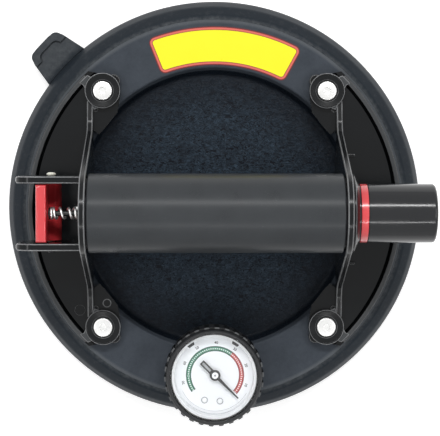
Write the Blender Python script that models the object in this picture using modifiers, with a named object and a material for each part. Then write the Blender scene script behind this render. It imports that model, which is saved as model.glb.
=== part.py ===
"""Hand-pumped suction cup lifter with a release lever and a vacuum gauge.

The cup lies on the XY plane with its sealing lip at z = 0. The grip runs along X, the plunger
comes out towards +X, the release lever is towards -X and the gauge stands towards -Y.
All sizes are in metres.
"""

from math import acos, asin, atan2, ceil, cos, hypot, pi, radians, sin, sqrt, tan

import bmesh
import bpy

# Clearance between two pieces that touch or run on each other on the real object
GAP = 0.0003

# Rubber cup
CAVITY_DEPTH = 0.006
WEB_THICKNESS = 0.0027
RIM_WIDTH = 0.0099
RIM_DROP = 0.0008
LIP_WIDTH = 0.0105
PORT_RADIUS = 0.003
TAB_ANGLE = radians(136.3)
TAB_REACH = 0.0158
TAB_ROOT_WIDTH = 0.0266
TAB_TIP_WIDTH = 0.0188
TAB_THICKNESS = 0.0036
TAB_LEVEL = 0.0038
TAB_RIDGE_WIDTH = 0.0034
TAB_RIDGE_HEIGHT = 0.0014

# Base plate
PLATE_RADIUS = 0.0925
PLATE_WALL = 0.003
RECESS_RADIUS = 0.0695
RECESS_DEPTH = 0.008
RECESS_SLOPE = 0.0033
RIB_COUNT = 8
RIB_WALL = 0.002

# Grip and pump, from the plunger outwards
PLUNGER_RADIUS = 0.0136
PLUNGER_WALL = 0.0026
PLUNGER_CAP = 0.003
PLUNGER_EDGE = 0.0016
PLUNGER_STAND = 0.0067
STROKE = 0.030
INDICATOR_WIDTH = 0.0033
INDICATOR_DEPTH = 0.0008
BUSHING_WALL = 0.0011
BUSHING_LENGTH = 0.018
COLLAR_LENGTH = 0.0026
COLLAR_TAPER = 0.0033
WIPER_LENGTH = 0.0013
WIPER_DEPTH = 0.001
CYLINDER_WALL = 0.0011
SLEEVE_WALL = 0.0016
SLEEVE_EDGE = 0.001
GRIP_LENGTH = 0.116
GRIP_END_GAP = 0.0014
FINGER_GAP = 0.0407
PISTON_HEAD = 0.0144
PISTON_SPIGOT = 0.0096
PUMP_WIRE = 0.0009
PUMP_COIL_RADIUS = 0.0085
PUMP_COILS = 6

# End frames
WALL_THICKNESS = 0.003
WALL_EDGE = 0.0009
HEAD_MARGIN = 0.0014
WALL_FOOT_HALF = 0.0385
FOOT_THICKNESS = 0.0022
FOOT_INSET = 0.002
LIP_BAND = 0.0025
LIP_RISE = 0.0026
RIB_RISE = 0.0066
BOSS_RADIUS = 0.0086
BOSS_RISE = 0.0062
BOSS_OFFSET = 0.0062
PAD_RADIUS = 0.008
PAD_RISE = 0.0028
PAD_SHIFT = 0.0018
SCREW_INSET = 0.0109
SEAT_DEPTH = 0.0012
STIFFENER_Y = 0.0265
STIFFENER_WALL = 0.0012
STIFFENER_REACH = 0.0062
STIFFENER_RISE = 0.0022

# Screws and nuts
SCREW_RADIUS = 0.0025
HEAD_RADIUS = 0.0048
HEAD_HEIGHT = 0.0027
HEAD_CLEARANCE = 0.0012
SOCKET_RADIUS = 0.0017
SOCKET_DEPTH = 0.0012
SCREW_TAIL = 0.0012
NUT_RADIUS = 0.0045
NUT_HEIGHT = 0.004
NUT_WALL = 0.002

# Release valve and lever
LEVER_ARM = 0.017
LEVER_WIDTH = 0.027
LEVER_PLATE = 0.0048
LEVER_RISE = 0.007
LEVER_DROP = 0.0075
HUB_RADIUS = 0.005
PIVOT_REACH = 0.0149
PAD_SETBACK = 0.0004
EAR_WALL = 0.0033
EAR_REACH = 0.0301
EAR_RISE = 0.006
EAR_DROP = 0.008
PIN_RADIUS = 0.0015
PIN_HEAD_RADIUS = 0.0022
PIN_HEAD_HEIGHT = 0.0012
PIN_TAIL = 0.0018
CLIP_RADIUS = 0.0029
CLIP_THICKNESS = 0.0008
STEM_RADIUS = 0.0013
STEM_HEAD_RADIUS = 0.0029
STEM_HEAD = 0.0006
STEM_DOME = 0.0004
STEM_WIRE = 0.00045
STEM_COIL_RADIUS = 0.00235
STEM_COILS = 5
NOSE_RADIUS = 0.006
NOSE_REACH = 0.0006
BODY_LENGTH = 0.0203
CHAMBER_RADIUS = 0.0043
CHAMBER_START = 0.0043
CHAMBER_LENGTH = 0.0085
POPPET_RADIUS = 0.0034
POPPET_THICKNESS = 0.0014
STEM_SEAL = 0.001
SEAL_WIRE = 0.00075
FLAP_RADIUS = 0.005
FLAP_THICKNESS = 0.001
FLAP_STEM = 0.006
FLAP_STEM_RADIUS = 0.0012
FLOW_HOLE_RADIUS = 0.0009
FLOW_HOLE_COUNT = 4
DUCT_RADIUS = 0.0014
DUCT_DROP = 0.009
DUCT_WALL = 0.0018
DUCT_BOSS_RADIUS = 0.005
DUCT_SEAL_WIRE = 0.00055
FILTER_THICKNESS = 0.002
FILTER_EDGE = 0.001

# Gauge
GAUGE_INSET = 0.0128
BOOT_RADIUS = 0.0234
BOOT_WALL = 0.002
BOOT_FLOOR = 0.0025
BOOT_LIP = 0.0013
KNURL_DEPTH = 0.0012
KNURL_COUNT = 30
KNURL_LENGTH = 0.0135
CASE_WALL = 0.0006
CASE_FLOOR = 0.0012
CASE_DEPTH = 0.019
LENS_THICKNESS = 0.0015
DIAL_THICKNESS = 0.0006
DIAL_DEPTH = 0.0048
NEEDLE_REACH = 0.0158
NEEDLE_TAIL = 0.0091
NEEDLE_THICKNESS = 0.0005
NEEDLE_LIFT = 0.0014
NEEDLE_HUB_RADIUS = 0.0026
NEEDLE_HUB_HEIGHT = 0.0009
NEEDLE_WIDTH = 0.0015
NEEDLE_TIP_WIDTH = 0.0006
NEEDLE_TAIL_WIDTH = 0.0026
NEEDLE_FRAME = 0.0007
SPINDLE_LENGTH = 0.0035
SPINDLE_RADIUS = 0.0007
NEEDLE_REST = radians(-45)
THREAD_RADIUS = 0.0048
FLANGE_RADIUS = 0.0065
FLANGE_HEIGHT = 0.0012
GASKET_HEIGHT = 0.0009
TUBE_WIRE = 0.0014
TUBE_SWEEP = radians(245)

# Roundness: straight pieces per full turn
DISC_STEPS = 40
ROUND_STEPS = 24
INNER_STEPS = 16
SMALL_STEPS = 12
TINY_STEPS = 10
CRESCENT_STEPS = 12
FILLET_STEP = radians(50)

# Edges sharper than this stay crisp, the rest are shaded smooth
CREASE = radians(38)

# Levels above the sealing lip
WEB_TOP = CAVITY_DEPTH + WEB_THICKNESS
PLATE_BOTTOM = WEB_TOP + GAP
RECESS_FLOOR = PLATE_BOTTOM + PLATE_WALL
RING_TOP = RECESS_FLOOR + RECESS_DEPTH
FOOT_BOTTOM = RING_TOP + GAP
FOOT_TOP = FOOT_BOTTOM + FOOT_THICKNESS

# Radii of the pump, from the plunger outwards
BUSHING_BORE = PLUNGER_RADIUS + GAP
BUSHING_RADIUS = BUSHING_BORE + BUSHING_WALL
CYLINDER_BORE = BUSHING_RADIUS + GAP
CYLINDER_RADIUS = CYLINDER_BORE + CYLINDER_WALL
SLEEVE_BORE = CYLINDER_RADIUS + GAP
GRIP_RADIUS = SLEEVE_BORE + SLEEVE_WALL
COLLAR_RADIUS = GRIP_RADIUS - GAP
HEAD_RADIUS_WALL = GRIP_RADIUS + HEAD_MARGIN
GRIP_Z = RECESS_FLOOR + FINGER_GAP + GRIP_RADIUS

# Stations along the grip, as distances from the middle
WALL_IN = GRIP_LENGTH / 2 + GRIP_END_GAP
WALL_OUT = WALL_IN + WALL_THICKNESS
WALL_MID = WALL_IN + WALL_THICKNESS / 2
SEAT_FACE = WALL_IN + SEAT_DEPTH
COLLAR_START = WALL_OUT + GAP
COLLAR_END = COLLAR_START + COLLAR_LENGTH
GUIDE_START = COLLAR_START - BUSHING_LENGTH
PISTON_RIGHT = GUIDE_START - GAP
PISTON_LEFT = PISTON_RIGHT - PISTON_HEAD
PLUNGER_LEFT = GUIDE_START
PLUNGER_RIGHT = COLLAR_END + PLUNGER_STAND + STROKE
BODY_LEFT = -(SEAT_FACE - GAP)
BODY_RIGHT = BODY_LEFT + BODY_LENGTH
NOSE_LEFT = -(WALL_OUT + NOSE_REACH)
CHAMBER_LEFT = BODY_LEFT + CHAMBER_START
CHAMBER_RIGHT = CHAMBER_LEFT + CHAMBER_LENGTH

# Release lever
PIVOT_X = -(WALL_OUT + PIVOT_REACH)
PIVOT_Z = GRIP_Z - LEVER_ARM
PAD_FACE = PIVOT_X - PAD_SETBACK
STEM_TIP = PAD_FACE + GAP
EAR_Y = LEVER_WIDTH / 2 + GAP + EAR_WALL / 2
EAR_OUT = EAR_Y + EAR_WALL / 2

# Air duct from the cup to the pump, in the left frame
DUCT_X = -(WALL_OUT + DUCT_RADIUS + GAP)
DUCT_Z = GRIP_Z - DUCT_DROP
DUCT_RIB = DUCT_RADIUS + DUCT_WALL

# Screws: each stands on the ring, a little inside its wall
FOOT_RADIUS = PLATE_RADIUS - FOOT_INSET
SCREW_CIRCLE = FOOT_RADIUS - SCREW_INSET
SCREW_X = WALL_MID - BOSS_OFFSET
SCREW_Y = sqrt(SCREW_CIRCLE**2 - SCREW_X**2)
BOSS_TOP = FOOT_BOTTOM + BOSS_RISE
HEAD_SEAT = BOSS_TOP - HEAD_HEIGHT - GAP
NUT_TOP = RING_TOP - PLATE_WALL - GAP
NUT_BOTTOM = NUT_TOP - NUT_HEIGHT

# Gauge levels
GAUGE_Y = -(PLATE_RADIUS - GAUGE_INSET)
GASKET_BOTTOM = RING_TOP + GAP
FLANGE_BOTTOM = GASKET_BOTTOM + GASKET_HEIGHT + GAP
FLANGE_TOP = FLANGE_BOTTOM + FLANGE_HEIGHT
BOOT_BOTTOM = RING_TOP + GAP
CASE_BOTTOM = max(BOOT_BOTTOM + BOOT_FLOOR, FLANGE_TOP) + GAP
CASE_TOP = CASE_BOTTOM + CASE_DEPTH
CASE_RADIUS = BOOT_RADIUS - BOOT_WALL - GAP
CASE_BORE = CASE_RADIUS - CASE_WALL
LENS_BOTTOM = CASE_TOP + GAP
LENS_TOP = LENS_BOTTOM + LENS_THICKNESS
BOOT_TOP = LENS_TOP + GAP + BOOT_LIP
DIAL_TOP = CASE_TOP - DIAL_DEPTH
DIAL_BOTTOM = DIAL_TOP - DIAL_THICKNESS


def start_clean():
    """Removes whatever the scene holds, so that only the lifter is left."""
    for thing in list(bpy.data.objects):
        bpy.data.objects.remove(thing, do_unlink=True)
    for group in list(bpy.data.collections):
        bpy.data.collections.remove(group)


def new_group(name):
    group = bpy.data.collections.new(name)
    bpy.context.scene.collection.children.link(group)
    return group


start_clean()
PARTS = new_group("suction_cup_lifter")
TOOLS = new_group("cutters_and_helpers")


def finish(name, colour, roughness, metallic=0.0):
    """A plain Principled material."""
    material = bpy.data.materials.new(name)
    material.use_nodes = True
    shader = material.node_tree.nodes["Principled BSDF"]
    shader.inputs["Base Color"].default_value = (*colour, 1.0)
    shader.inputs["Roughness"].default_value = roughness
    shader.inputs["Metallic"].default_value = metallic
    return material


RUBBER = finish("rubber", (0.025, 0.030, 0.035), 0.6)
PLATE_BLACK = finish("plate_black", (0.022, 0.027, 0.033), 0.5)
FRAME_BLACK = finish("frame_black", (0.02, 0.021, 0.023), 0.3)
SOFT_GREY = finish("grip_grey", (0.06, 0.063, 0.066), 0.55)
GLOSS_BLACK = finish("gloss_black", (0.012, 0.012, 0.013), 0.18)
SIGNAL_RED = finish("signal_red", (0.55, 0.01, 0.012), 0.3)
STEEL = finish("bright_steel", (0.75, 0.75, 0.76), 0.2, 1.0)
ALUMINIUM = finish("aluminium", (0.6, 0.61, 0.62), 0.35, 1.0)
BRASS = finish("brass", (0.55, 0.38, 0.13), 0.3, 1.0)
CREAM = finish("cream_head", (0.75, 0.72, 0.58), 0.35)
SEAL = finish("seal_rubber", (0.01, 0.01, 0.01), 0.55)
INNER_PLASTIC = finish("inner_plastic", (0.35, 0.35, 0.34), 0.45)
WHITE = finish("dial_white", (0.8, 0.82, 0.85), 0.4)
NEEDLE_BLACK = finish("needle_black", (0.01, 0.01, 0.01), 0.35)
FELT = finish("filter_felt", (0.5, 0.48, 0.42), 0.95)
GLASS = finish("clear_lens", (0.9, 0.95, 0.95), 0.03)

# Turns that lay a shape's own Z along a world axis
ALONG = {"Z": (0, 0, 0), "X": (0, pi / 2, 0), "Y": (-pi / 2, 0, 0)}
# Turns that stand a flat outline in a world plane
PLANES = {"XY": (0, 0, 0), "YZ": (pi / 2, 0, pi / 2), "XZ": (pi / 2, 0, 0)}


def place(thing, material, at=(0, 0, 0), turn=(0, 0, 0)):
    thing.location = at
    thing.rotation_euler = turn
    if material is None:
        thing.hide_render = True
        thing.display_type = "WIRE"
        TOOLS.objects.link(thing)
    else:
        thing.data.materials.append(material)
        PARTS.objects.link(thing)
    return thing


def softened(points, closed=True):
    """The outline with its corners rounded: a point's third number is that corner's radius."""
    count = len(points)
    made = []
    for i, point in enumerate(points):
        inner = closed or 0 < i < count - 1
        if len(point) < 3 or point[2] <= 0 or not inner:
            made.append((point[0], point[1]))
            continue
        x, y, radius = point
        before, after = points[i - 1], points[(i + 1) % count]
        ax, ay = before[0] - x, before[1] - y
        bx, by = after[0] - x, after[1] - y
        a_long, b_long = hypot(ax, ay), hypot(bx, by)
        ax, ay, bx, by = ax / a_long, ay / a_long, bx / b_long, by / b_long
        half = acos(max(-1.0, min(1.0, ax * bx + ay * by))) / 2
        back = min(radius / tan(half), 0.49 * a_long, 0.49 * b_long)
        radius = back * tan(half)
        reach = back / cos(half)
        mx, my = ax + bx, ay + by
        m_long = hypot(mx, my)
        cx, cy = x + mx / m_long * reach, y + my / m_long * reach
        start = atan2(y + ay * back - cy, x + ax * back - cx)
        end = atan2(y + by * back - cy, x + bx * back - cx)
        sweep = (end - start + pi) % (2 * pi) - pi
        steps = max(1, ceil(abs(sweep) / FILLET_STEP))
        for k in range(steps + 1):
            angle = start + sweep * k / steps
            made.append((cx + radius * cos(angle), cy + radius * sin(angle)))
    return made


def arc(centre, radius, start, end, steps):
    """Points along an arc, both ends included."""
    return [
        (
            centre[0] + radius * cos(start + (end - start) * i / steps),
            centre[1] + radius * sin(start + (end - start) * i / steps),
        )
        for i in range(steps + 1)
    ]


def circle(centre, radius, steps):
    return arc(centre, radius, 0, 2 * pi * (steps - 1) / steps, steps - 1)


def ring(inner, outer, low, high, edge=0.0):
    """Profile of a ring; edge rounds its outer corners."""
    return [(inner, high), (outer, high, edge), (outer, low, edge), (inner, low)]


def disc(outer, low, high, edge=0.0):
    """Profile of a solid round piece."""
    return [(0, high), (outer, high, edge), (outer, low, edge), (0, low)]


def turned(name, profile, material=None, at=(0, 0, 0), along="Z", steps=ROUND_STEPS):
    """A profile of (radius, height) turned about its axis. It runs down its outer side."""
    solid = profile[0][0] == 0 and profile[-1][0] == 0
    points = softened(profile, closed=not solid)
    count = len(points)
    edges = [(i, i + 1) for i in range(count - 1)]
    if not solid:
        edges.append((count - 1, 0))
    mesh = bpy.data.meshes.new(name)
    mesh.from_pydata([(radius, 0, height) for radius, height in points], edges, [])
    piece = place(bpy.data.objects.new(name, mesh), material, at, ALONG[along])
    screw = piece.modifiers.new("turn", "SCREW")
    screw.axis = "Z"
    screw.steps = steps
    screw.render_steps = steps
    screw.use_merge_vertices = True
    screw.merge_threshold = 0.00002
    return piece


def from_bmesh(name, shape, material, at, turn):
    mesh = bpy.data.meshes.new(name)
    shape.to_mesh(mesh)
    shape.free()
    return place(bpy.data.objects.new(name, mesh), material, at, turn)


def rod(name, radius, low, high, material=None, at=(0, 0, 0), along="Z", steps=SMALL_STEPS):
    """A round bar from low to high along its axis."""
    shape = bmesh.new()
    bmesh.ops.create_cone(
        shape, cap_ends=True, segments=steps, radius1=radius, radius2=radius, depth=high - low
    )
    bmesh.ops.translate(shape, verts=shape.verts, vec=(0, 0, (low + high) / 2))
    return from_bmesh(name, shape, material, at, ALONG[along])


def block(name, low, high, material=None, turn=(0, 0, 0)):
    """A box between two corners."""
    shape = bmesh.new()
    bmesh.ops.create_cube(shape, size=1)
    size = [b - a for a, b in zip(low, high)]
    middle = [(a + b) / 2 for a, b in zip(low, high)]
    bmesh.ops.scale(shape, verts=shape.verts, vec=size)
    bmesh.ops.translate(shape, verts=shape.verts, vec=middle)
    return from_bmesh(name, shape, material, (0, 0, 0), turn)


def as_mesh(name, curve, material, at, turn):
    """The curve's surface as one closed mesh."""
    guide = bpy.data.objects.new(name + "_guide", curve)
    TOOLS.objects.link(guide)
    bpy.context.view_layer.update()
    graph = bpy.context.evaluated_depsgraph_get()
    mesh = bpy.data.meshes.new_from_object(guide.evaluated_get(graph))
    shape = bmesh.new()
    shape.from_mesh(mesh)
    bmesh.ops.remove_doubles(shape, verts=shape.verts, dist=0.000002)
    bmesh.ops.recalc_face_normals(shape, faces=shape.faces)
    shape.to_mesh(mesh)
    shape.free()
    mesh.materials.clear()
    bpy.data.objects.remove(guide, do_unlink=True)
    return place(bpy.data.objects.new(name, mesh), material, at, turn)


def slab(name, outlines, thickness, material=None, at=(0, 0, 0), plane="XY"):
    """A flat outline given thickness, centred on its place along the plane's normal."""
    curve = bpy.data.curves.new(name, "CURVE")
    curve.dimensions = "2D"
    curve.fill_mode = "BOTH"
    curve.extrude = thickness / 2
    for outline in outlines:
        spline = curve.splines.new("POLY")
        spline.points.add(len(outline) - 1)
        for point, (u, v) in zip(spline.points, outline):
            point.co = (u, v, 0, 1)
        spline.use_cyclic_u = True
    return as_mesh(name, curve, material, at, PLANES[plane])


def wire(name, points, radius, material, sides=2):
    """A round wire through the points."""
    curve = bpy.data.curves.new(name, "CURVE")
    curve.dimensions = "3D"
    curve.bevel_depth = radius
    curve.bevel_resolution = sides
    curve.use_fill_caps = True
    spline = curve.splines.new("POLY")
    spline.points.add(len(points) - 1)
    for point, (x, y, z) in zip(spline.points, points):
        point.co = (x, y, z, 1)
    return as_mesh(name, curve, material, (0, 0, 0), (0, 0, 0))


def rounded(piece, width, segments=2, angle=40):
    """Rounds the piece's sharp edges."""
    bevel = piece.modifiers.new("edges", "BEVEL")
    bevel.width = width
    bevel.segments = segments
    bevel.limit_method = "ANGLE"
    bevel.angle_limit = radians(angle)
    return piece


def combine(piece, tool, operation):
    change = piece.modifiers.new(tool.name, "BOOLEAN")
    change.operation = operation
    change.solver = "EXACT"
    change.object = tool


def join(piece, *tools):
    for tool in tools:
        combine(piece, tool, "UNION")


def cut(piece, *tools):
    for tool in tools:
        combine(piece, tool, "DIFFERENCE")


def screw_places():
    """The four screws: name, x and y."""
    for side, x in (("left", -SCREW_X), ("right", SCREW_X)):
        for end, y in (("back", SCREW_Y), ("front", -SCREW_Y)):
            yield f"{side}_{end}", x, y


def tab_outline(inset=0.0, past_root=0.0):
    """The release tab seen from above, tapering to a rounded tip. Its root is inside the rim."""
    rim = PLATE_RADIUS + GAP + RIM_WIDTH
    root = rim - RIM_WIDTH / 2
    length = TAB_REACH + RIM_WIDTH / 2
    taper = (TAB_ROOT_WIDTH - TAB_TIP_WIDTH) / 2 / length
    start_half = TAB_ROOT_WIDTH / 2 - taper * past_root - inset
    tip = root + length - inset
    tip_half = TAB_TIP_WIDTH / 2 - inset
    corner = TAB_TIP_WIDTH * 0.35 - inset
    start = root + past_root
    points = softened(
        [(start, -start_half), (start, start_half), (tip, tip_half, corner), (tip, -tip_half, corner)]
    )
    turn_x, turn_y = cos(TAB_ANGLE), sin(TAB_ANGLE)
    return [(x * turn_x - y * turn_y, x * turn_y + y * turn_x) for x, y in points]


def make_rubber_cup():
    """The pad: a thin web over the cavity, a sealing lip, and a rim round the plate's edge."""
    inner = PLATE_RADIUS + GAP
    outer = inner + RIM_WIDTH
    crest = RING_TOP - RIM_DROP
    groove = outer - LIP_WIDTH * 0.55
    profile = [
        (0, WEB_TOP),
        (inner, WEB_TOP),
        (inner, crest),
        (inner + 0.25 * RIM_WIDTH, crest - 0.0004),
        (inner + 0.64 * RIM_WIDTH, crest * 0.78, 0.004),
        (inner + 0.90 * RIM_WIDTH, crest * 0.50),
        (outer, crest * 0.25),
        (outer - 0.0006, 0.0),
        (groove + 0.0008, 0),
        (groove, 0.0008),
        (groove - 0.0008, 0),
        (outer - LIP_WIDTH, 0),
        (outer - LIP_WIDTH - 0.0065, CAVITY_DEPTH, 0.004),
        (0, CAVITY_DEPTH),
    ]
    cup = turned("rubber_cup", profile, RUBBER, steps=DISC_STEPS)
    tab = slab("tab", [tab_outline()], TAB_THICKNESS, at=(0, 0, TAB_LEVEL + TAB_THICKNESS / 2))
    ridge_start = RIM_WIDTH / 2 + TAB_REACH * 0.6
    ridge_low = TAB_LEVEL + TAB_THICKNESS / 2
    ridge_high = TAB_LEVEL + TAB_THICKNESS + TAB_RIDGE_HEIGHT
    ridge = slab(
        "tab_ridge",
        [tab_outline(0.0003, ridge_start)],
        ridge_high - ridge_low,
        at=(0, 0, (ridge_low + ridge_high) / 2),
    )
    hollow = slab(
        "tab_hollow",
        [tab_outline(TAB_RIDGE_WIDTH, RIM_WIDTH / 2)],
        TAB_THICKNESS * 3,
        at=(0, 0, ridge_high),
    )
    cut(ridge, hollow)
    join(cup, tab, ridge)
    for name, x, y in (("duct_port", DUCT_X, 0), ("gauge_port", 0, GAUGE_Y)):
        cut(cup, rod(name, PORT_RADIUS, 0, WEB_TOP * 1.5, at=(x, y, 0)))
    return cup


def make_base_plate():
    """The moulded plate: a dished middle, a raised ring, and a ribbed channel under the ring."""
    floor_edge = RECESS_RADIUS - RECESS_SLOPE
    channel_top = RING_TOP - PLATE_WALL
    channel_in = RECESS_RADIUS + PLATE_WALL
    channel_out = PLATE_RADIUS - PLATE_WALL
    profile = [
        (0, RECESS_FLOOR),
        (floor_edge, RECESS_FLOOR, 0.002),
        (RECESS_RADIUS, RING_TOP, 0.0012),
        (PLATE_RADIUS - 0.0008, RING_TOP),
        (PLATE_RADIUS, RING_TOP - 0.0008),
        (PLATE_RADIUS, PLATE_BOTTOM),
        (channel_out, PLATE_BOTTOM),
        (channel_out, channel_top),
        (channel_in, channel_top),
        (floor_edge + PLATE_WALL, PLATE_BOTTOM),
        (0, PLATE_BOTTOM),
    ]
    plate = turned("base_plate", profile, PLATE_BLACK, steps=DISC_STEPS)
    middle = (channel_in + channel_out) / 2
    half = (channel_out - channel_in) / 2 + PLATE_WALL / 2
    for i in range(RIB_COUNT):
        turn = (0, 0, 2 * pi * i / RIB_COUNT)
        low = (middle - half, -RIB_WALL / 2, PLATE_BOTTOM + GAP)
        high = (middle + half, RIB_WALL / 2, channel_top + PLATE_WALL / 2)
        join(plate, block(f"plate_rib_{i}", low, high, turn=turn))
    pocket = NUT_RADIUS + GAP
    boss_low = PLATE_BOTTOM + GAP
    boss_high = channel_top + PLATE_WALL / 2
    for name, x, y in screw_places():
        at = (x, y, 0)
        boss = rod("boss_" + name, pocket + NUT_WALL, boss_low, boss_high, at=at, steps=TINY_STEPS)
        join(plate, boss)
    for name, x, y in screw_places():
        at = (x, y, 0)
        bore = rod("bore_" + name, SCREW_RADIUS + GAP, 0, RING_TOP * 1.5, at=at, steps=TINY_STEPS)
        cut(plate, bore, rod("pocket_" + name, pocket, 0, NUT_TOP + GAP, at=at, steps=6))
    gauge_at = (0, GAUGE_Y, 0)
    join(plate, rod("gauge_boss", THREAD_RADIUS + PLATE_WALL, boss_low, boss_high, at=gauge_at))
    cut(plate, rod("gauge_bore", THREAD_RADIUS + GAP, 0, RING_TOP * 1.5, at=gauge_at))
    duct_at = (DUCT_X, 0, 0)
    join(plate, rod("duct_boss", DUCT_BOSS_RADIUS, PLATE_BOTTOM + GAP, RING_TOP, at=duct_at))
    groove_middle = DUCT_RADIUS + GAP + 3 * DUCT_SEAL_WIRE
    groove_half = DUCT_SEAL_WIRE + GAP
    groove = ring(
        groove_middle - groove_half,
        groove_middle + groove_half,
        FOOT_BOTTOM - 2 * DUCT_SEAL_WIRE - 2 * GAP,
        RING_TOP * 1.2,
    )
    pocket_top = PLATE_BOTTOM + FILTER_THICKNESS + GAP
    cut(
        plate,
        rod("duct_bore", DUCT_RADIUS, 0, RING_TOP * 1.5, at=duct_at, steps=TINY_STEPS),
        turned("duct_groove", groove, at=duct_at, steps=SMALL_STEPS),
        rod("filter_pocket", PORT_RADIUS + FILTER_EDGE, 0, pocket_top, at=duct_at),
    )
    return plate


def make_duct_parts():
    """The felt in the plate's air port and the seal under the left frame's duct."""
    low = PLATE_BOTTOM + GAP / 2
    at = (DUCT_X, 0, 0)
    filter_radius = PORT_RADIUS + FILTER_EDGE - GAP
    rod("air_filter", filter_radius, low, low + FILTER_THICKNESS, FELT, at=at)
    middle = DUCT_RADIUS + GAP + 3 * DUCT_SEAL_WIRE
    centre = FOOT_BOTTOM - GAP - DUCT_SEAL_WIRE
    profile = list(reversed(circle((middle, centre), DUCT_SEAL_WIRE, 6)))
    turned("duct_seal", profile, SEAL, at=at, steps=SMALL_STEPS)


def foot_turn():
    """Half the angle that the crescent's outer edge spans."""
    return atan2(SCREW_Y, SCREW_X) + radians(0.9)


def foot_outline(side):
    """The foot seen from above: a crescent round both bosses, with a web inside each."""
    outer_turn = foot_turn()
    wall_x = WALL_IN + 0.0007
    upper = [
        (wall_x, SCREW_Y - 0.0185),
        (wall_x - 0.0034, SCREW_Y - 0.0213, 0.0005),
        (SCREW_X - 0.0012, SCREW_Y - 0.0179, 0.001),
        (SCREW_X - 0.0070, SCREW_Y - 0.0105, 0.001),
        (SCREW_X - BOSS_RADIUS + 0.0004, SCREW_Y - 0.0041, 0.002),
    ]
    upper = softened(upper, closed=False)
    upper += arc((SCREW_X, SCREW_Y), BOSS_RADIUS - 0.0006, radians(178), radians(92), 4)
    upper.append((FOOT_RADIUS * cos(outer_turn), FOOT_RADIUS * sin(outer_turn)))
    rim = arc((0, 0), FOOT_RADIUS, outer_turn, -outer_turn, CRESCENT_STEPS)
    lower = [(x, -y) for x, y in reversed(upper)]
    return [(side * x, y) for x, y in upper + rim[1:-1] + lower]


def lip_outline(side):
    """The raised band along the crescent's outer edge."""
    turn = foot_turn()
    outer = arc((0, 0), FOOT_RADIUS - 0.0003, turn, -turn, CRESCENT_STEPS)[1:-1]
    inner = arc((0, 0), FOOT_RADIUS - LIP_BAND, -turn, turn, CRESCENT_STEPS)[1:-1]
    return [(side * x, y) for x, y in outer + inner]


def wall_outline():
    """The end wall seen along the grip: a round head, steep sides and a low rib to each boss."""
    rib_top = FOOT_BOTTOM + RIB_RISE
    rib_end = SCREW_Y - 0.0045
    rest = FOOT_BOTTOM + 0.0004
    reach = hypot(WALL_FOOT_HALF, GRIP_Z - rib_top)
    tangent = atan2(rib_top - GRIP_Z, WALL_FOOT_HALF) + acos(HEAD_RADIUS_WALL / reach)
    head = arc((0, GRIP_Z), HEAD_RADIUS_WALL, tangent, pi - tangent, 10)
    right = [
        (0, rest),
        (rib_end, rest),
        (rib_end, rib_top - 0.0022, 0.0015),
        (WALL_FOOT_HALF + 0.0035, rib_top - 0.0008, 0.003),
        (WALL_FOOT_HALF, rib_top, 0.003),
        head[0],
    ]
    right = softened(right, closed=False)[1:]
    left = [(-y, z) for y, z in reversed(right)]
    return right[:-1] + head + left[1:]


def make_skirts(name, side):
    """The wall's lower edge, which drops into the plate's dish on each side of the duct."""
    dish = RECESS_RADIUS - RECESS_SLOPE - 2 * GAP
    low_half = sqrt(max(dish**2 - WALL_OUT**2, (2 * DUCT_BOSS_RADIUS) ** 2))
    high_half = sqrt(max((RECESS_RADIUS - GAP) ** 2 - WALL_OUT**2, (2.2 * DUCT_BOSS_RADIUS) ** 2))
    high_half -= 2 * GAP
    inner = DUCT_BOSS_RADIUS + GAP
    top = FOOT_BOTTOM + FOOT_THICKNESS * 0.7
    for end in (-1, 1):
        points = [(inner, RECESS_FLOOR + GAP), (low_half, RECESS_FLOOR + GAP)]
        points += [(high_half, FOOT_BOTTOM), (high_half, top), (inner, top)]
        outline = [(end * y, z) for y, z in points]
        thickness = WALL_THICKNESS - 2 * GAP
        at = (side * WALL_MID, 0, 0)
        yield slab(f"{name}_skirt_{end}", [outline], thickness, at=at, plane="YZ")


def make_end_frame(name, side):
    """One moulded end frame: wall, crescent foot, raised lip and two screw bosses."""
    foot_middle = (0, 0, FOOT_BOTTOM + FOOT_THICKNESS / 2)
    frame = slab(name, [foot_outline(side)], FOOT_THICKNESS, FRAME_BLACK, foot_middle)
    lip_low = FOOT_BOTTOM + 0.0006
    lip_high = FOOT_TOP + LIP_RISE
    lip_middle = (0, 0, (lip_low + lip_high) / 2)
    lip = slab(name + "_lip", [lip_outline(side)], lip_high - lip_low, at=lip_middle)
    wall_at = (side * WALL_MID, 0, 0)
    wall = slab(name + "_wall", [wall_outline()], WALL_THICKNESS, at=wall_at, plane="YZ")
    join(frame, lip, rounded(wall, WALL_EDGE, 1), *make_skirts(name, side))
    for end in (-1, 1):
        at = (side * SCREW_X, end * SCREW_Y, 0)
        low = FOOT_BOTTOM + 0.0004
        boss = rod(f"{name}_boss_{end}", BOSS_RADIUS, low, BOSS_TOP, at=at, steps=INNER_STEPS)
        pad_at = (side * (SCREW_X - PAD_SHIFT), end * (SCREW_Y + PAD_SHIFT), 0)
        pad_low, pad_high = FOOT_BOTTOM + 0.0009, FOOT_BOTTOM + PAD_RISE
        pad = rod(f"{name}_pad_{end}", PAD_RADIUS, pad_low, pad_high, at=pad_at, steps=SMALL_STEPS)
        join(frame, boss, pad)
    for end in (-1, 1):
        at = (side * SCREW_X, end * SCREW_Y, 0)
        recess = HEAD_RADIUS + HEAD_CLEARANCE
        cut(
            frame,
            rod(f"{name}_recess_{end}", recess, HEAD_SEAT, BOSS_TOP * 1.3, at=at, steps=SMALL_STEPS),
            rod(f"{name}_hole_{end}", SCREW_RADIUS + GAP, 0, BOSS_TOP, at=at, steps=TINY_STEPS),
        )
    return frame


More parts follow.
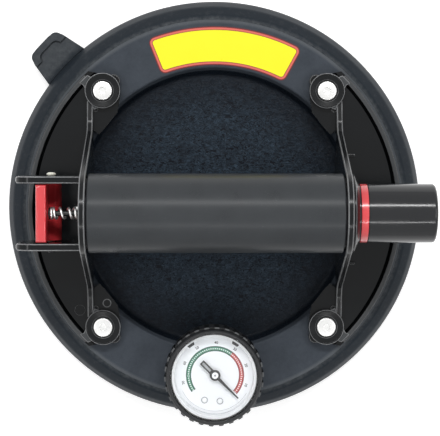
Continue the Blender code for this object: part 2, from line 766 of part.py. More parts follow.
def make_left_frame():
    """The frame with the valve: lever ears, the air duct's rib, and a seat for the closed pump end."""
    frame = make_end_frame("left_frame", -1)
    ear_low = PIVOT_Z - EAR_DROP
    ear_high = GRIP_Z + EAR_RISE
    tip = -(WALL_OUT + EAR_REACH)
    outline = [
        (-WALL_MID, ear_high),
        (tip, ear_high, 0.008),
        (tip, ear_low, 0.007),
        (PIVOT_X, ear_low, 0.004),
        (-WALL_MID, ear_low - 0.012),
    ]
    for end in (-1, 1):
        ear = slab(f"ear_{end}", [softened(outline)], EAR_WALL, at=(0, end * EAR_Y, 0), plane="XZ")
        join(frame, rounded(ear, EAR_WALL * 0.3, 1))
    rib_low = FOOT_BOTTOM + 0.0003
    rib_high = DUCT_Z + DUCT_RIB
    rib = rod("duct_rib", DUCT_RIB, rib_low, rib_high, at=(DUCT_X, 0, 0), steps=SMALL_STEPS)
    join(frame, rib)
    pin_span = EAR_OUT * 1.4
    grip_at = (0, 0, GRIP_Z)
    seat_radius = CYLINDER_RADIUS + GAP
    cut(
        frame,
        rod("pump_seat", seat_radius, -SEAT_FACE, 0, at=grip_at, along="X", steps=ROUND_STEPS),
        rod("nose_hole", NOSE_RADIUS + GAP, -WALL_OUT * 1.05, 0, at=grip_at, along="X"),
        rod("duct_hole", DUCT_RADIUS, 0, DUCT_Z, at=(DUCT_X, 0, 0)),
        rod("duct_cross", DUCT_RADIUS * 0.9, DUCT_X, 0, at=(0, 0, DUCT_Z), along="X"),
        rod("pin_hole", PIN_RADIUS + GAP, -pin_span, pin_span, at=(PIVOT_X, 0, PIVOT_Z), along="Y"),
    )
    return frame


def make_right_frame():
    """The frame that the plunger comes out of, with a short stiffener on each side of its foot."""
    frame = make_end_frame("right_frame", 1)
    for end in (-1, 1):
        y = end * STIFFENER_Y
        low = (WALL_MID, y - STIFFENER_WALL / 2, FOOT_BOTTOM + 0.0005)
        high = (WALL_OUT + STIFFENER_REACH, y + STIFFENER_WALL / 2, FOOT_TOP + STIFFENER_RISE)
        join(frame, block(f"foot_stiffener_{end}", low, high))
    radius, end = CYLINDER_RADIUS + GAP, WALL_OUT * 1.3
    cut(frame, rod("pump_hole", radius, 0, end, at=(0, 0, GRIP_Z), along="X", steps=ROUND_STEPS))
    return frame


def make_fasteners():
    """Button-head screws from above, nuts in the plate's pockets below."""
    tail = NUT_BOTTOM - SCREW_TAIL
    for name, x, y in screw_places():
        at = (x, y, 0)
        profile = [
            (0, HEAD_SEAT + GAP + HEAD_HEIGHT),
            (HEAD_RADIUS * 0.6, HEAD_SEAT + GAP + HEAD_HEIGHT),
            (HEAD_RADIUS, HEAD_SEAT + GAP + HEAD_HEIGHT * 0.4),
            (HEAD_RADIUS, HEAD_SEAT + GAP),
            (SCREW_RADIUS, HEAD_SEAT + GAP),
            (SCREW_RADIUS, tail),
            (0, tail),
        ]
        screw = turned("screw_" + name, profile, STEEL, at=at, steps=TINY_STEPS)
        top = HEAD_SEAT + GAP + HEAD_HEIGHT
        cut(screw, rod("socket_" + name, SOCKET_RADIUS, top - SOCKET_DEPTH, top * 1.2, at=at, steps=6))
        nut = rod("nut_" + name, NUT_RADIUS, NUT_BOTTOM, NUT_TOP, STEEL, at=at, steps=6)
        bore = rod("nut_bore_" + name, SCREW_RADIUS + GAP, 0, NUT_TOP * 1.5, at=at, steps=TINY_STEPS)
        cut(nut, bore)


def make_grip():
    """The pump's tube between the walls and the soft sleeve over it."""
    at = (0, 0, GRIP_Z)
    left, right = -(SEAT_FACE - GAP), WALL_OUT - GAP
    turned("pump_cylinder", ring(CYLINDER_BORE, CYLINDER_RADIUS, left, right), ALUMINIUM, at, "X")
    half = GRIP_LENGTH / 2
    sleeve = ring(SLEEVE_BORE, GRIP_RADIUS, -half, half, SLEEVE_EDGE)
    turned("grip_sleeve", sleeve, SOFT_GREY, at, "X")


def make_plunger():
    """The hollow plunger, open towards the piston, with a groove for the indicator ring."""
    groove_low = COLLAR_END + 2 * GAP
    groove_high = groove_low + INDICATOR_WIDTH + 2 * GAP
    groove_radius = PLUNGER_RADIUS - INDICATOR_DEPTH - GAP
    bore = PLUNGER_RADIUS - PLUNGER_WALL
    profile = [
        (0, PLUNGER_RIGHT),
        (PLUNGER_RADIUS, PLUNGER_RIGHT, PLUNGER_EDGE),
        (PLUNGER_RADIUS, groove_high),
        (groove_radius, groove_high),
        (groove_radius, groove_low),
        (PLUNGER_RADIUS, groove_low),
        (PLUNGER_RADIUS, PLUNGER_LEFT),
        (bore, PLUNGER_LEFT),
        (bore, PLUNGER_RIGHT - PLUNGER_CAP),
        (0, PLUNGER_RIGHT - PLUNGER_CAP),
    ]
    at = (0, 0, GRIP_Z)
    turned("plunger", profile, GLOSS_BLACK, at, "X")
    band = ring(groove_radius + GAP, PLUNGER_RADIUS, groove_low + GAP, groove_high - GAP)
    turned("indicator_ring", band, SIGNAL_RED, at, "X")


def make_piston():
    """The plug on the plunger's inner end, with its lip seal in a groove."""
    head = CYLINDER_BORE - 2 * GAP
    spigot = PLUNGER_RADIUS - PLUNGER_WALL - GAP
    seat = PUMP_COIL_RADIUS - PUMP_WIRE - 2 * GAP
    groove_low = PISTON_LEFT + PISTON_HEAD * 0.35
    groove_high = PISTON_LEFT + PISTON_HEAD * 0.66
    groove_radius = head * 0.84
    profile = [
        (0, PISTON_RIGHT + PISTON_SPIGOT),
        (spigot, PISTON_RIGHT + PISTON_SPIGOT),
        (spigot, PISTON_RIGHT),
        (head, PISTON_RIGHT),
        (head, groove_high),
        (groove_radius, groove_high),
        (groove_radius, groove_low),
        (head, groove_low),
        (head, PISTON_LEFT),
        (seat, PISTON_LEFT),
        (seat, PISTON_LEFT - 0.0025),
        (0, PISTON_LEFT - 0.0025),
    ]
    at = (0, 0, GRIP_Z)
    turned("piston", profile, INNER_PLASTIC, at, "X", INNER_STEPS)
    low, high = groove_low + GAP, groove_high - GAP
    inner, outer = groove_radius + GAP, CYLINDER_BORE - GAP
    lip = [
        (inner, high),
        (outer - 0.0006, high),
        (outer, low),
        (outer - 0.0007, low),
        (outer - 0.0013, low + (high - low) * 0.4),
        (inner, low + (high - low) * 0.4),
    ]
    turned("piston_seal", lip, SEAL, at, "X", INNER_STEPS)


def make_bushing():
    """The plunger's guide: a sleeve inside the tube and a conical collar against the wall."""
    groove_low = COLLAR_START + (COLLAR_LENGTH - WIPER_LENGTH) / 2 - GAP
    groove_high = groove_low + WIPER_LENGTH + 2 * GAP
    groove_radius = BUSHING_BORE + WIPER_DEPTH + GAP
    profile = [
        (BUSHING_BORE, COLLAR_END),
        (COLLAR_RADIUS - COLLAR_TAPER, COLLAR_END),
        (COLLAR_RADIUS, COLLAR_START + 0.0008),
        (COLLAR_RADIUS, COLLAR_START),
        (BUSHING_RADIUS, COLLAR_START),
        (BUSHING_RADIUS, GUIDE_START),
        (BUSHING_BORE, GUIDE_START),
        (BUSHING_BORE, groove_low),
        (groove_radius, groove_low),
        (groove_radius, groove_high),
        (BUSHING_BORE, groove_high),
    ]
    at = (0, 0, GRIP_Z)
    turned("end_bushing", profile, GLOSS_BLACK, at, "X")
    wiper = ring(BUSHING_BORE, groove_radius - GAP, groove_low + GAP, groove_high - GAP)
    turned("wiper_seal", wiper, SEAL, at, "X")


def make_valve_body():
    """The plug in the tube's closed end: valve seat, ports to the duct, and holes under the flap."""
    radius = CYLINDER_BORE - GAP
    seal_middle = BODY_LEFT + BODY_LENGTH * 0.6
    groove_radius = radius - 2 * SEAL_WIRE
    groove_half = SEAL_WIRE + GAP
    flap_bore = FLAP_STEM_RADIUS + GAP
    stem_bore = STEM_RADIUS + GAP
    profile = [
        (flap_bore, BODY_RIGHT),
        (radius, BODY_RIGHT),
        (radius, seal_middle + groove_half),
        (groove_radius, seal_middle + groove_half),
        (groove_radius, seal_middle - groove_half),
        (radius, seal_middle - groove_half),
        (radius, BODY_LEFT),
        (NOSE_RADIUS, BODY_LEFT),
        (NOSE_RADIUS, NOSE_LEFT),
        (stem_bore, NOSE_LEFT),
        (stem_bore, CHAMBER_LEFT),
        (CHAMBER_RADIUS, CHAMBER_LEFT),
        (CHAMBER_RADIUS, CHAMBER_RIGHT),
        (flap_bore, CHAMBER_RIGHT),
    ]
    at = (0, 0, GRIP_Z)
    body = turned("valve_body", profile, INNER_PLASTIC, at, "X", INNER_STEPS)
    hole_circle = (flap_bore + FLAP_RADIUS) / 2
    for i in range(FLOW_HOLE_COUNT):
        turn = 2 * pi * (i + 0.5) / FLOW_HOLE_COUNT
        hole_at = (0, hole_circle * cos(turn), GRIP_Z + hole_circle * sin(turn))
        low, high = CHAMBER_RIGHT - 0.001, BODY_RIGHT + 0.002
        hole = rod(f"flow_hole_{i}", FLOW_HOLE_RADIUS, low, high, at=hole_at, along="X", steps=6)
        cut(body, hole)
    port_x = (CHAMBER_LEFT + CHAMBER_RIGHT) / 2
    port = DUCT_RADIUS * 0.9
    cut(
        body,
        rod("port_along", port, BODY_LEFT - 0.002, port_x, at=(0, 0, DUCT_Z), along="X", steps=8),
        rod("port_across", port * 0.9, DUCT_Z - port * 0.2, GRIP_Z, at=(port_x, 0, 0), steps=8),
    )
    middle = groove_radius + SEAL_WIRE + GAP / 3
    seal = list(reversed(circle((middle, seal_middle), SEAL_WIRE, 6)))
    turned("body_seal", seal, SEAL, at, "X", INNER_STEPS)
    flap = [
        (0, BODY_RIGHT + GAP + FLAP_THICKNESS),
        (FLAP_RADIUS * 0.5, BODY_RIGHT + GAP + FLAP_THICKNESS),
        (FLAP_RADIUS, BODY_RIGHT + GAP + FLAP_THICKNESS * 0.4),
        (FLAP_RADIUS, BODY_RIGHT + GAP),
        (FLAP_STEM_RADIUS, BODY_RIGHT + GAP),
        (FLAP_STEM_RADIUS, BODY_RIGHT + GAP - FLAP_STEM),
        (0, BODY_RIGHT + GAP - FLAP_STEM),
    ]
    turned("inlet_valve", flap, SEAL, at, "X", TINY_STEPS)


def make_valve_stem():
    """The release stem: a domed head that the lever pushes, a thin rod, and the poppet inside the plug."""
    seal_left = CHAMBER_LEFT + GAP
    poppet_left = seal_left + STEM_SEAL + GAP
    poppet_right = poppet_left + POPPET_THICKNESS
    head_left = STEM_TIP + STEM_DOME
    head_right = head_left + STEM_HEAD
    profile = [
        (0, poppet_right),
        (POPPET_RADIUS, poppet_right),
        (POPPET_RADIUS, poppet_left),
        (STEM_RADIUS, poppet_left),
        (STEM_RADIUS, head_right),
        (STEM_HEAD_RADIUS, head_right),
        (STEM_HEAD_RADIUS, head_left),
        (STEM_HEAD_RADIUS * 0.7, head_left - STEM_DOME * 0.65),
        (STEM_HEAD_RADIUS * 0.3, STEM_TIP),
        (0, STEM_TIP),
    ]
    at = (0, 0, GRIP_Z)
    turned("valve_stem", profile, NEEDLE_BLACK, at, "X", TINY_STEPS)
    seal = ring(STEM_RADIUS + GAP, POPPET_RADIUS - 0.0002, seal_left, seal_left + STEM_SEAL)
    turned("stem_seal", seal, SEAL, at, "X", TINY_STEPS)
    first = head_right + GAP + STEM_WIRE
    last = NOSE_LEFT - GAP - STEM_WIRE
    make_coil("stem_spring", STEM_COIL_RADIUS, STEM_WIRE, first, last, STEM_COILS, 8, STEEL)


def make_pump_spring():
    """The return spring between the plug and the piston."""
    first = BODY_RIGHT + GAP + PUMP_WIRE
    last = PISTON_LEFT - GAP - PUMP_WIRE
    make_coil("pump_spring", PUMP_COIL_RADIUS, PUMP_WIRE, first, last, PUMP_COILS, 8, STEEL)


def make_coil(name, radius, wire_radius, first, last, turns, points_per_turn, material):
    """A compression spring along the grip's axis, with its end turns wound close."""
    close = 2.15 * wire_radius
    count = turns * points_per_turn
    span = last - first
    free = (span - 2 * close) / (turns - 2)
    points = []
    for i in range(count + 1):
        turn = i / points_per_turn
        if turn <= 1:
            x = first + close * turn
        elif turn >= turns - 1:
            x = last - close * (turns - turn)
        else:
            x = first + close + free * (turn - 1)
        angle = 2 * pi * turn
        points.append((x, radius * cos(angle), GRIP_Z + radius * sin(angle)))
    return wire(name, points, wire_radius, material)


def make_release_lever():
    """The red lever: a thumb pad that stands behind the stem, on a hub round the pivot pin."""
    pivot = (PIVOT_X, 0, PIVOT_Z)
    pad_top = LEVER_ARM + LEVER_RISE
    right = -PAD_SETBACK
    left = right - LEVER_PLATE
    back, front = 0.0016, 0.0012
    outline = [(right, HUB_RADIUS * 1.2)] + arc((0, 0), HUB_RADIUS, radians(60), radians(-120), 8)
    outline += [(left - 0.0004, -LEVER_DROP), (left - 0.0012, -LEVER_DROP * 0.4), (left, HUB_RADIUS)]
    outline += arc((left + back, pad_top - back), back, pi, pi / 2, 4)
    outline += arc((right - front, pad_top - front), front, pi / 2, 0, 3)
    lever = slab("release_lever", [outline], LEVER_WIDTH, SIGNAL_RED, pivot, "XZ")
    rounded(lever, 0.0005, 1)
    bore = rod("lever_bore", PIN_RADIUS + GAP, -LEVER_WIDTH, LEVER_WIDTH, at=pivot, along="Y")
    cut(lever, bore)
    return lever


def make_lever_pin():
    """The pivot pin with its domed head at the back, held by a clip at the front."""
    at = (PIVOT_X, 0, PIVOT_Z)
    head_low = EAR_OUT + GAP
    clip_high = -(EAR_OUT + GAP)
    clip_low = clip_high - CLIP_THICKNESS
    profile = [
        (0, head_low + PIN_HEAD_HEIGHT),
        (PIN_HEAD_RADIUS * 0.5, head_low + PIN_HEAD_HEIGHT * 0.88),
        (PIN_HEAD_RADIUS * 0.85, head_low + PIN_HEAD_HEIGHT * 0.5),
        (PIN_HEAD_RADIUS, head_low),
        (PIN_RADIUS, head_low),
        (PIN_RADIUS, clip_low - PIN_TAIL + CLIP_THICKNESS),
        (0, clip_low - PIN_TAIL + CLIP_THICKNESS),
    ]
    turned("lever_pin", profile, CREAM, at, "Y", TINY_STEPS)
    clip = ring(PIN_RADIUS + GAP / 2, CLIP_RADIUS, clip_low, clip_high)
    turned("pin_clip", clip, STEEL, at, "Y", TINY_STEPS)


def make_gauge_boot():
    """The rubber boot round the gauge: a knurled band and a smooth lip over the lens."""
    bore = BOOT_RADIUS - BOOT_WALL
    knurl_top = BOOT_TOP - 0.0042
    knurl_low = knurl_top - KNURL_LENGTH
    opening = bore - 0.0006
    shoulder = BOOT_RADIUS - 0.0004
    profile = [
        (opening, BOOT_TOP),
        (shoulder, BOOT_TOP, 0.0014),
        (shoulder, knurl_top),
        (BOOT_RADIUS, knurl_top),
        (BOOT_RADIUS, BOOT_BOTTOM, 0.0015),
        (FLANGE_RADIUS + 2 * GAP, BOOT_BOTTOM),
        (FLANGE_RADIUS + 2 * GAP, BOOT_BOTTOM + BOOT_FLOOR),
        (bore, BOOT_BOTTOM + BOOT_FLOOR),
        (bore, LENS_TOP + GAP),
        (opening, LENS_TOP + GAP),
    ]
    at = (0, GAUGE_Y, 0)
    boot = turned("gauge_boot", profile, RUBBER, at, steps=ROUND_STEPS)
    teeth = []
    pitch = 2 * pi / KNURL_COUNT
    outer = BOOT_RADIUS + KNURL_DEPTH
    root = BOOT_RADIUS - 0.0002
    for i in range(KNURL_COUNT):
        for share, radius in ((-0.3, root), (-0.18, outer), (0.18, outer), (0.3, root)):
            angle = pitch * (i + share)
            teeth.append((radius * cos(angle), radius * sin(angle)))
    inner = circle((0, 0), BOOT_RADIUS - BOOT_WALL / 2, KNURL_COUNT)
    height = knurl_top - knurl_low
    band = slab("knurl", [teeth, inner], height - 0.0003, at=(0, GAUGE_Y, knurl_low + height / 2))
    join(boot, band)
    return boot


def make_gauge_case():
    """The case in the boot, with the lens, the white spacer ring and the dial above the works."""
    at = (0, GAUGE_Y, 0)
    hole = FLANGE_RADIUS * 0.62
    profile = [
        (CASE_BORE, CASE_TOP),
        (CASE_RADIUS, CASE_TOP),
        (CASE_RADIUS, CASE_BOTTOM),
        (hole, CASE_BOTTOM),
        (hole, CASE_BOTTOM + CASE_FLOOR),
        (CASE_BORE, CASE_BOTTOM + CASE_FLOOR),
    ]
    turned("gauge_case", profile, FRAME_BLACK, at)
    turned("gauge_lens", disc(CASE_RADIUS, LENS_BOTTOM, LENS_TOP), GLASS, at)
    dial_radius = CASE_BORE - GAP
    dial = turned("gauge_dial", disc(dial_radius, DIAL_BOTTOM, DIAL_TOP), WHITE, at)
    low, high = DIAL_BOTTOM - 0.002, DIAL_TOP + 0.002
    cut(dial, rod("spindle_hole", SPINDLE_RADIUS + GAP, low, high, at=at, steps=8))
    spacer = [
        (CASE_BORE - 0.0008, CASE_TOP),
        (CASE_BORE - GAP, CASE_TOP),
        (CASE_BORE - GAP, DIAL_TOP + GAP),
        (CASE_BORE - 0.0016, DIAL_TOP + GAP),
    ]
    turned("dial_ring", spacer, WHITE, at)


def make_needle():
    """The needle: a tapered pointer, an open counterweight frame, a hub and the spindle."""
    low = DIAL_TOP + NEEDLE_LIFT
    middle = low + NEEDLE_THICKNESS / 2
    hub = NEEDLE_HUB_RADIUS * 0.8
    root, tip, tail = NEEDLE_WIDTH / 2, NEEDLE_TIP_WIDTH / 2, NEEDLE_TAIL_WIDTH / 2
    pointer = [(hub, -root), (NEEDLE_REACH, -tip), (NEEDLE_REACH, tip), (hub, root)]
    back = [(-hub, tail), (-NEEDLE_TAIL, tail), (-NEEDLE_TAIL, -tail), (-hub, -tail)]
    window_start = -NEEDLE_HUB_RADIUS - NEEDLE_FRAME
    window_end = -NEEDLE_TAIL + NEEDLE_FRAME
    inner = tail - NEEDLE_FRAME
    window = [(window_start, inner), (window_end, inner), (window_end, -inner), (window_start, -inner)]
    at = (0, GAUGE_Y, middle)
    needle = slab("gauge_needle", [pointer + back, window], NEEDLE_THICKNESS, NEEDLE_BLACK, at)
    needle.rotation_euler = (0, 0, NEEDLE_REST)
    hub_at = (0, GAUGE_Y, 0)
    hub_low, hub_high = low - NEEDLE_THICKNESS * 0.6, low + NEEDLE_HUB_HEIGHT
    spindle_low = DIAL_BOTTOM - SPINDLE_LENGTH
    spindle_high = low + NEEDLE_THICKNESS * 0.4
    join(
        needle,
        rod("needle_hub", NEEDLE_HUB_RADIUS, hub_low, hub_high, at=hub_at),
        rod("needle_spindle", SPINDLE_RADIUS, spindle_low, spindle_high, at=hub_at, steps=8),
    )
    return needle


def make_gauge_works():
    """The brass fitting, the curved pressure tube, and the block that carries the spindle."""
    at = (0, GAUGE_Y, 0)
    neck = FLANGE_RADIUS * 0.62 - GAP
    block_low = CASE_BOTTOM + CASE_FLOOR + GAP
    works_top = DIAL_BOTTOM - 0.0005
    block_high = block_low + (works_top - block_low) * 0.5
    profile = [
        (0, block_low + 0.0005),
        (neck, block_low + 0.0005),
        (neck, FLANGE_TOP),
        (FLANGE_RADIUS, FLANGE_TOP),
        (FLANGE_RADIUS, FLANGE_BOTTOM),
        (THREAD_RADIUS, FLANGE_BOTTOM),
        (THREAD_RADIUS, PLATE_BOTTOM + GAP),
        (0, PLATE_BOTTOM + GAP),
    ]
    stem = turned("gauge_stem", profile, BRASS, at, steps=SMALL_STEPS)
    half = neck * 1.2
    low = (-half, GAUGE_Y - half, block_low)
    high = (half, GAUGE_Y + half, block_high)
    join(stem, block("stem_block", low, high))
    cut(stem, rod("stem_bore", DUCT_RADIUS, 0, (block_low + block_high) / 2, at=at, steps=8))
    gasket = ring(THREAD_RADIUS + GAP, FLANGE_RADIUS, GASKET_BOTTOM, GASKET_BOTTOM + GASKET_HEIGHT)
    turned("gauge_gasket", gasket, SEAL, at, steps=SMALL_STEPS)
    tube_radius = half * 1.42 + TUBE_WIRE + GAP + TUBE_SWEEP * 0.0009
    tube_z = (block_low + block_high) / 2
    start = radians(-90) + asin((half + TUBE_WIRE) / tube_radius) * 0.2
    tube = [(x, y, tube_z) for x, y in arc((0, GAUGE_Y), tube_radius, start, start + TUBE_SWEEP, 16)]
    foot = [(0, GAUGE_Y - half - GAP - TUBE_WIRE * 0.2, tube_z)]
    wire("bourdon_tube", foot + tube, TUBE_WIRE, BRASS)
    base = (-half * 0.9, GAUGE_Y - half * 0.7, block_high + GAP)
    top = (half * 0.9, GAUGE_Y + half * 0.7, works_top)
    carrier = block("gauge_movement", base, top, BRASS)
    bore_low = DIAL_BOTTOM - SPINDLE_LENGTH - GAP
    cut(carrier, rod("carrier_bore", SPINDLE_RADIUS + GAP, bore_low, DIAL_TOP, at=at, steps=8))


def carry(name, at, *pieces):
    """An empty on a joint's axis, with the pieces that move about it as its children."""
    axis = bpy.data.objects.new(name, None)
    axis.empty_display_size = GRIP_RADIUS
    axis.location = at
    TOOLS.objects.link(axis)
    for piece in pieces:
        child = bpy.data.objects[piece]
        child.parent = axis
        child.location = [own - base for own, base in zip(child.location, at)]


def hang_on_joints():
    """Each moving group on its joint: two slides along the grip and two turning axes."""
    grip_axis = (0, 0, GRIP_Z)
    carry("plunger_axis", grip_axis, "plunger", "indicator_ring", "piston", "piston_seal")
    carry("stem_axis", grip_axis, "valve_stem", "stem_seal")
    carry("lever_axis", (PIVOT_X, 0, PIVOT_Z), "release_lever")
    carry("needle_axis", (0, GAUGE_Y, DIAL_TOP), "gauge_needle")


def shade():
    """Round faces smooth, with the edges between unlike faces left crisp."""
    bpy.context.view_layer.update()
    graph = bpy.context.evaluated_depsgraph_get()
    pieces = list(PARTS.objects)
    meshes = [bpy.data.meshes.new_from_object(piece.evaluated_get(graph)) for piece in pieces]
    for piece, mesh in zip(pieces, meshes):
        mesh.shade_smooth()
        mesh.set_sharp_from_angle(angle=CREASE)
        piece.modifiers.clear()
        piece.data = mesh
        mesh.name = piece.name


make_rubber_cup()
make_base_plate()
make_duct_parts()
make_left_frame()
make_right_frame()
make_fasteners()
make_grip()
make_plunger()
make_piston()
make_bushing()
make_valve_body()
make_valve_stem()
make_pump_spring()
make_release_lever()
make_lever_pin()
make_gauge_boot()
make_gauge_case()
make_needle()
make_gauge_works()
hang_on_joints()
shade()
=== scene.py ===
# %% [markdown]
# # A hand-pumped suction cup lifter
# The object is a round rubber cup with a plate on it, two moulded end frames, and a grip that hides
# a hand pump. A red lever lets the air back in, and a small gauge shows how much is left outside.
# The imported model is the frame that everything here stands on.

# %% Load the imported model
from math import acos, atan2, ceil, cos, hypot, pi, radians, sin, tan

import bmesh
import bpy
from mathutils import Matrix, Vector


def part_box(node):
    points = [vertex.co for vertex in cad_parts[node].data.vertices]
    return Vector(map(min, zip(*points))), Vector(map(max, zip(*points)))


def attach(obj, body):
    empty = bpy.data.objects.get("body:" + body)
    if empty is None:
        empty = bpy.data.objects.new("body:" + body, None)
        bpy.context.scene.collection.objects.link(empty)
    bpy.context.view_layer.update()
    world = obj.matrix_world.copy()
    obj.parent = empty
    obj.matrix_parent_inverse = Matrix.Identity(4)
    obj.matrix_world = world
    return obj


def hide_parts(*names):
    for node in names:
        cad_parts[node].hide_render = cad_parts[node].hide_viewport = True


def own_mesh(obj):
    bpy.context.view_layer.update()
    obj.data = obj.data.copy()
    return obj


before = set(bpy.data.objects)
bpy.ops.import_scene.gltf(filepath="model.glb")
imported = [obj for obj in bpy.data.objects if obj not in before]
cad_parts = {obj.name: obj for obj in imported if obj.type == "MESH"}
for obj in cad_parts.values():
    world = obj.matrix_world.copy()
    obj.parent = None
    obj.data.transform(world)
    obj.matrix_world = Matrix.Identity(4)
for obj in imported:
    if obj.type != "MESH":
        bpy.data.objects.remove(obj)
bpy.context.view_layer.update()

mm = 0.001
scene = bpy.context.scene
scene.view_settings.view_transform = "Standard"

# %% [markdown]
# ## The camera
# The photograph looks almost straight down, from a little left and behind. A long lens at 0.84 m
# gives the same slight spread between the grip, which is near the camera, and the cup, which is not.
# The camera's turn is given directly, because a tracking constraint has no clear "up" when it looks down.

# %% Camera
lens_data = bpy.data.cameras.new("camera")
lens_data.lens = 136.7
lens_data.sensor_width = 36
lens_data.clip_start = 0.05
camera = bpy.data.objects.new("camera", lens_data)
scene.collection.objects.link(camera)
eye = Vector((-0.0088, 0.0324, 0.841))
aim = Vector((0.00265, -0.00466, 0.016))
back = (eye - aim).normalized()
right = Vector((1, 0, 0))
right = (right - right.dot(back) * back).normalized()
up = back.cross(right)
camera.matrix_world = Matrix.Translation(eye) @ Matrix((right, up, back)).transposed().to_4x4()
scene.camera = camera
print("tilt in degrees", round(back.angle(Vector((0, 0, 1))) * 180 / pi, 2))

# %% [markdown]
# ## Node trees as sums
# A shader is arithmetic: a colour here, a little more roughness there. One small class wraps a
# socket, so that a plus sign makes an Add node and a star makes a Multiply node, and one method
# makes any other node from its type, its settings and its socket values.

# %% A signal and the tree that carries it
class Signal:
    """One value in a node tree. Arithmetic on signals makes the Math nodes."""

    def __init__(self, recipe, socket):
        self.recipe = recipe
        self.socket = socket

    def __add__(self, other):
        return self.recipe.math("ADD", self, other)

    def __sub__(self, other):
        return self.recipe.math("SUBTRACT", self, other)

    def __rsub__(self, other):
        return self.recipe.math("SUBTRACT", other, self)

    def __mul__(self, other):
        return self.recipe.math("MULTIPLY", self, other)

    def __truediv__(self, other):
        return self.recipe.math("DIVIDE", self, other)

    def __rtruediv__(self, other):
        return self.recipe.math("DIVIDE", other, self)

    def __lt__(self, other):
        return self.recipe.math("LESS_THAN", self, other)

    def __gt__(self, other):
        return self.recipe.math("GREATER_THAN", self, other)

    def __neg__(self):
        return self * -1.0

    __radd__ = __add__
    __rmul__ = __mul__

    def clamped(self):
        return self.recipe.math("ADD", self, 0.0, clamp=True)


class Recipe:
    """Fills a node tree."""

    def __init__(self, tree):
        self.tree = tree

    def feed(self, socket, value):
        if isinstance(value, Signal):
            self.tree.links.new(value.socket, socket)
        else:
            socket.default_value = value

    def node(self, kind, values=None, output=0, **settings):
        made = self.tree.nodes.new(kind)
        for setting, value in settings.items():
            setattr(made, setting, value)
        for name, value in (values or {}).items():
            self.feed(made.inputs[name], value)
        return Signal(self, made.outputs[output]) if len(made.outputs) else made

    def math(self, operation, *terms, clamp=False):
        return self.node("ShaderNodeMath", dict(enumerate(terms)), operation=operation, use_clamp=clamp)

    def vector(self, operation, *terms, output=0):
        return self.node("ShaderNodeVectorMath", dict(enumerate(terms)), output, operation=operation)

    def mix(self, share, first, second):
        values = {0: share, 6: first, 7: second}
        return self.node("ShaderNodeMix", values, 2, data_type="RGBA")


# %% [markdown]
# ## Light, floor and background
# Four soft strips stand round the object, high up. The long ones draw the thin bright lines along
# the plunger and the sleeve, the short ones draw those on the rounded edges of the walls. The world
# is white to the camera, to mirrors and to glass, but dim to matt surfaces, so it never washes out
# the colours. Black plastics are kept black by a low specular level, not by a dark world, because
# whatever faces up mirrors the white overhead. The floor keeps a soft shadow under the cup.

# %% World and floor
def to_eye_or_mirror(recipe):
    """1 for rays from the camera, from a gloss or through glass, and 0 for soft light."""
    path = "ShaderNodeLightPath"
    seen = recipe.node(path, output="Is Camera Ray") + recipe.node(path, output="Is Glossy Ray")
    return (seen + recipe.node(path, output="Is Transmission Ray")).clamped()


world = bpy.data.worlds.new("studio")
scene.world = world
world.use_nodes = True
studio = Recipe(world.node_tree)
backdrop = world.node_tree.nodes["Background"]
backdrop.inputs["Color"].default_value = (1, 1, 1, 1)
studio.feed(backdrop.inputs["Strength"], to_eye_or_mirror(studio) * 0.7 + 0.3)

floor_paint = bpy.data.materials.new("floor_paint")
floor_paint.use_nodes = True
paint = Recipe(floor_paint.node_tree)
for node in list(floor_paint.node_tree.nodes):
    if node.type == "BSDF_PRINCIPLED":
        floor_paint.node_tree.nodes.remove(node)
matt = paint.node("ShaderNodeBsdfDiffuse", {"Color": (0.86, 0.86, 0.86, 1)})
glow = paint.node("ShaderNodeEmission", {"Color": (1, 1, 1, 1), "Strength": to_eye_or_mirror(paint) * 0.55})
both = paint.node("ShaderNodeAddShader", {0: matt, 1: glow})
paint.feed(floor_paint.node_tree.nodes["Material Output"].inputs["Surface"], both)

floor_shape = bmesh.new()
bmesh.ops.create_circle(floor_shape, cap_ends=True, segments=64, radius=3.0)
bmesh.ops.translate(floor_shape, verts=floor_shape.verts, vec=(0, 0, -0.05 * mm))
floor_mesh = bpy.data.meshes.new("floor")
floor_shape.to_mesh(floor_mesh)
floor_shape.free()
floor_mesh.materials.append(floor_paint)
floor = bpy.data.objects.new("floor", floor_mesh)
scene.collection.objects.link(floor)


# %% Lamps
def soft_box(name, at, toward, width, length, power):
    data = bpy.data.lights.new(name, "AREA")
    data.shape = "RECTANGLE"
    data.size = length
    data.size_y = width
    data.energy = power
    lamp = bpy.data.objects.new(name, data)
    scene.collection.objects.link(lamp)
    lamp.location = at
    lamp.rotation_euler = (Vector(toward) - Vector(at)).to_track_quat("-Z", "Y").to_euler()


grip_line = (0, 0, 71 * mm)
soft_box("strip_back", (0, 0.47, 0.79), grip_line, 0.08, 0.8, 4.4)
soft_box("strip_front", (0, -0.47, 0.79), grip_line, 0.04, 0.8, 1.5)
soft_box("strip_left", (-0.52, 0, 0.76), grip_line, 0.10, 0.45, 1.1)
soft_box("strip_right", (0.52, 0, 0.76), grip_line, 0.10, 0.45, 1.1)

# %% [markdown]
# ## Tools for making shapes
# Most of this object is either turned on an axis or cut from a flat outline. The lathe turns a
# profile, the slab gives an outline thickness, and both write their place into the mesh, so that
# every finished piece's own object stays at the origin. They take millimetres and write metres.

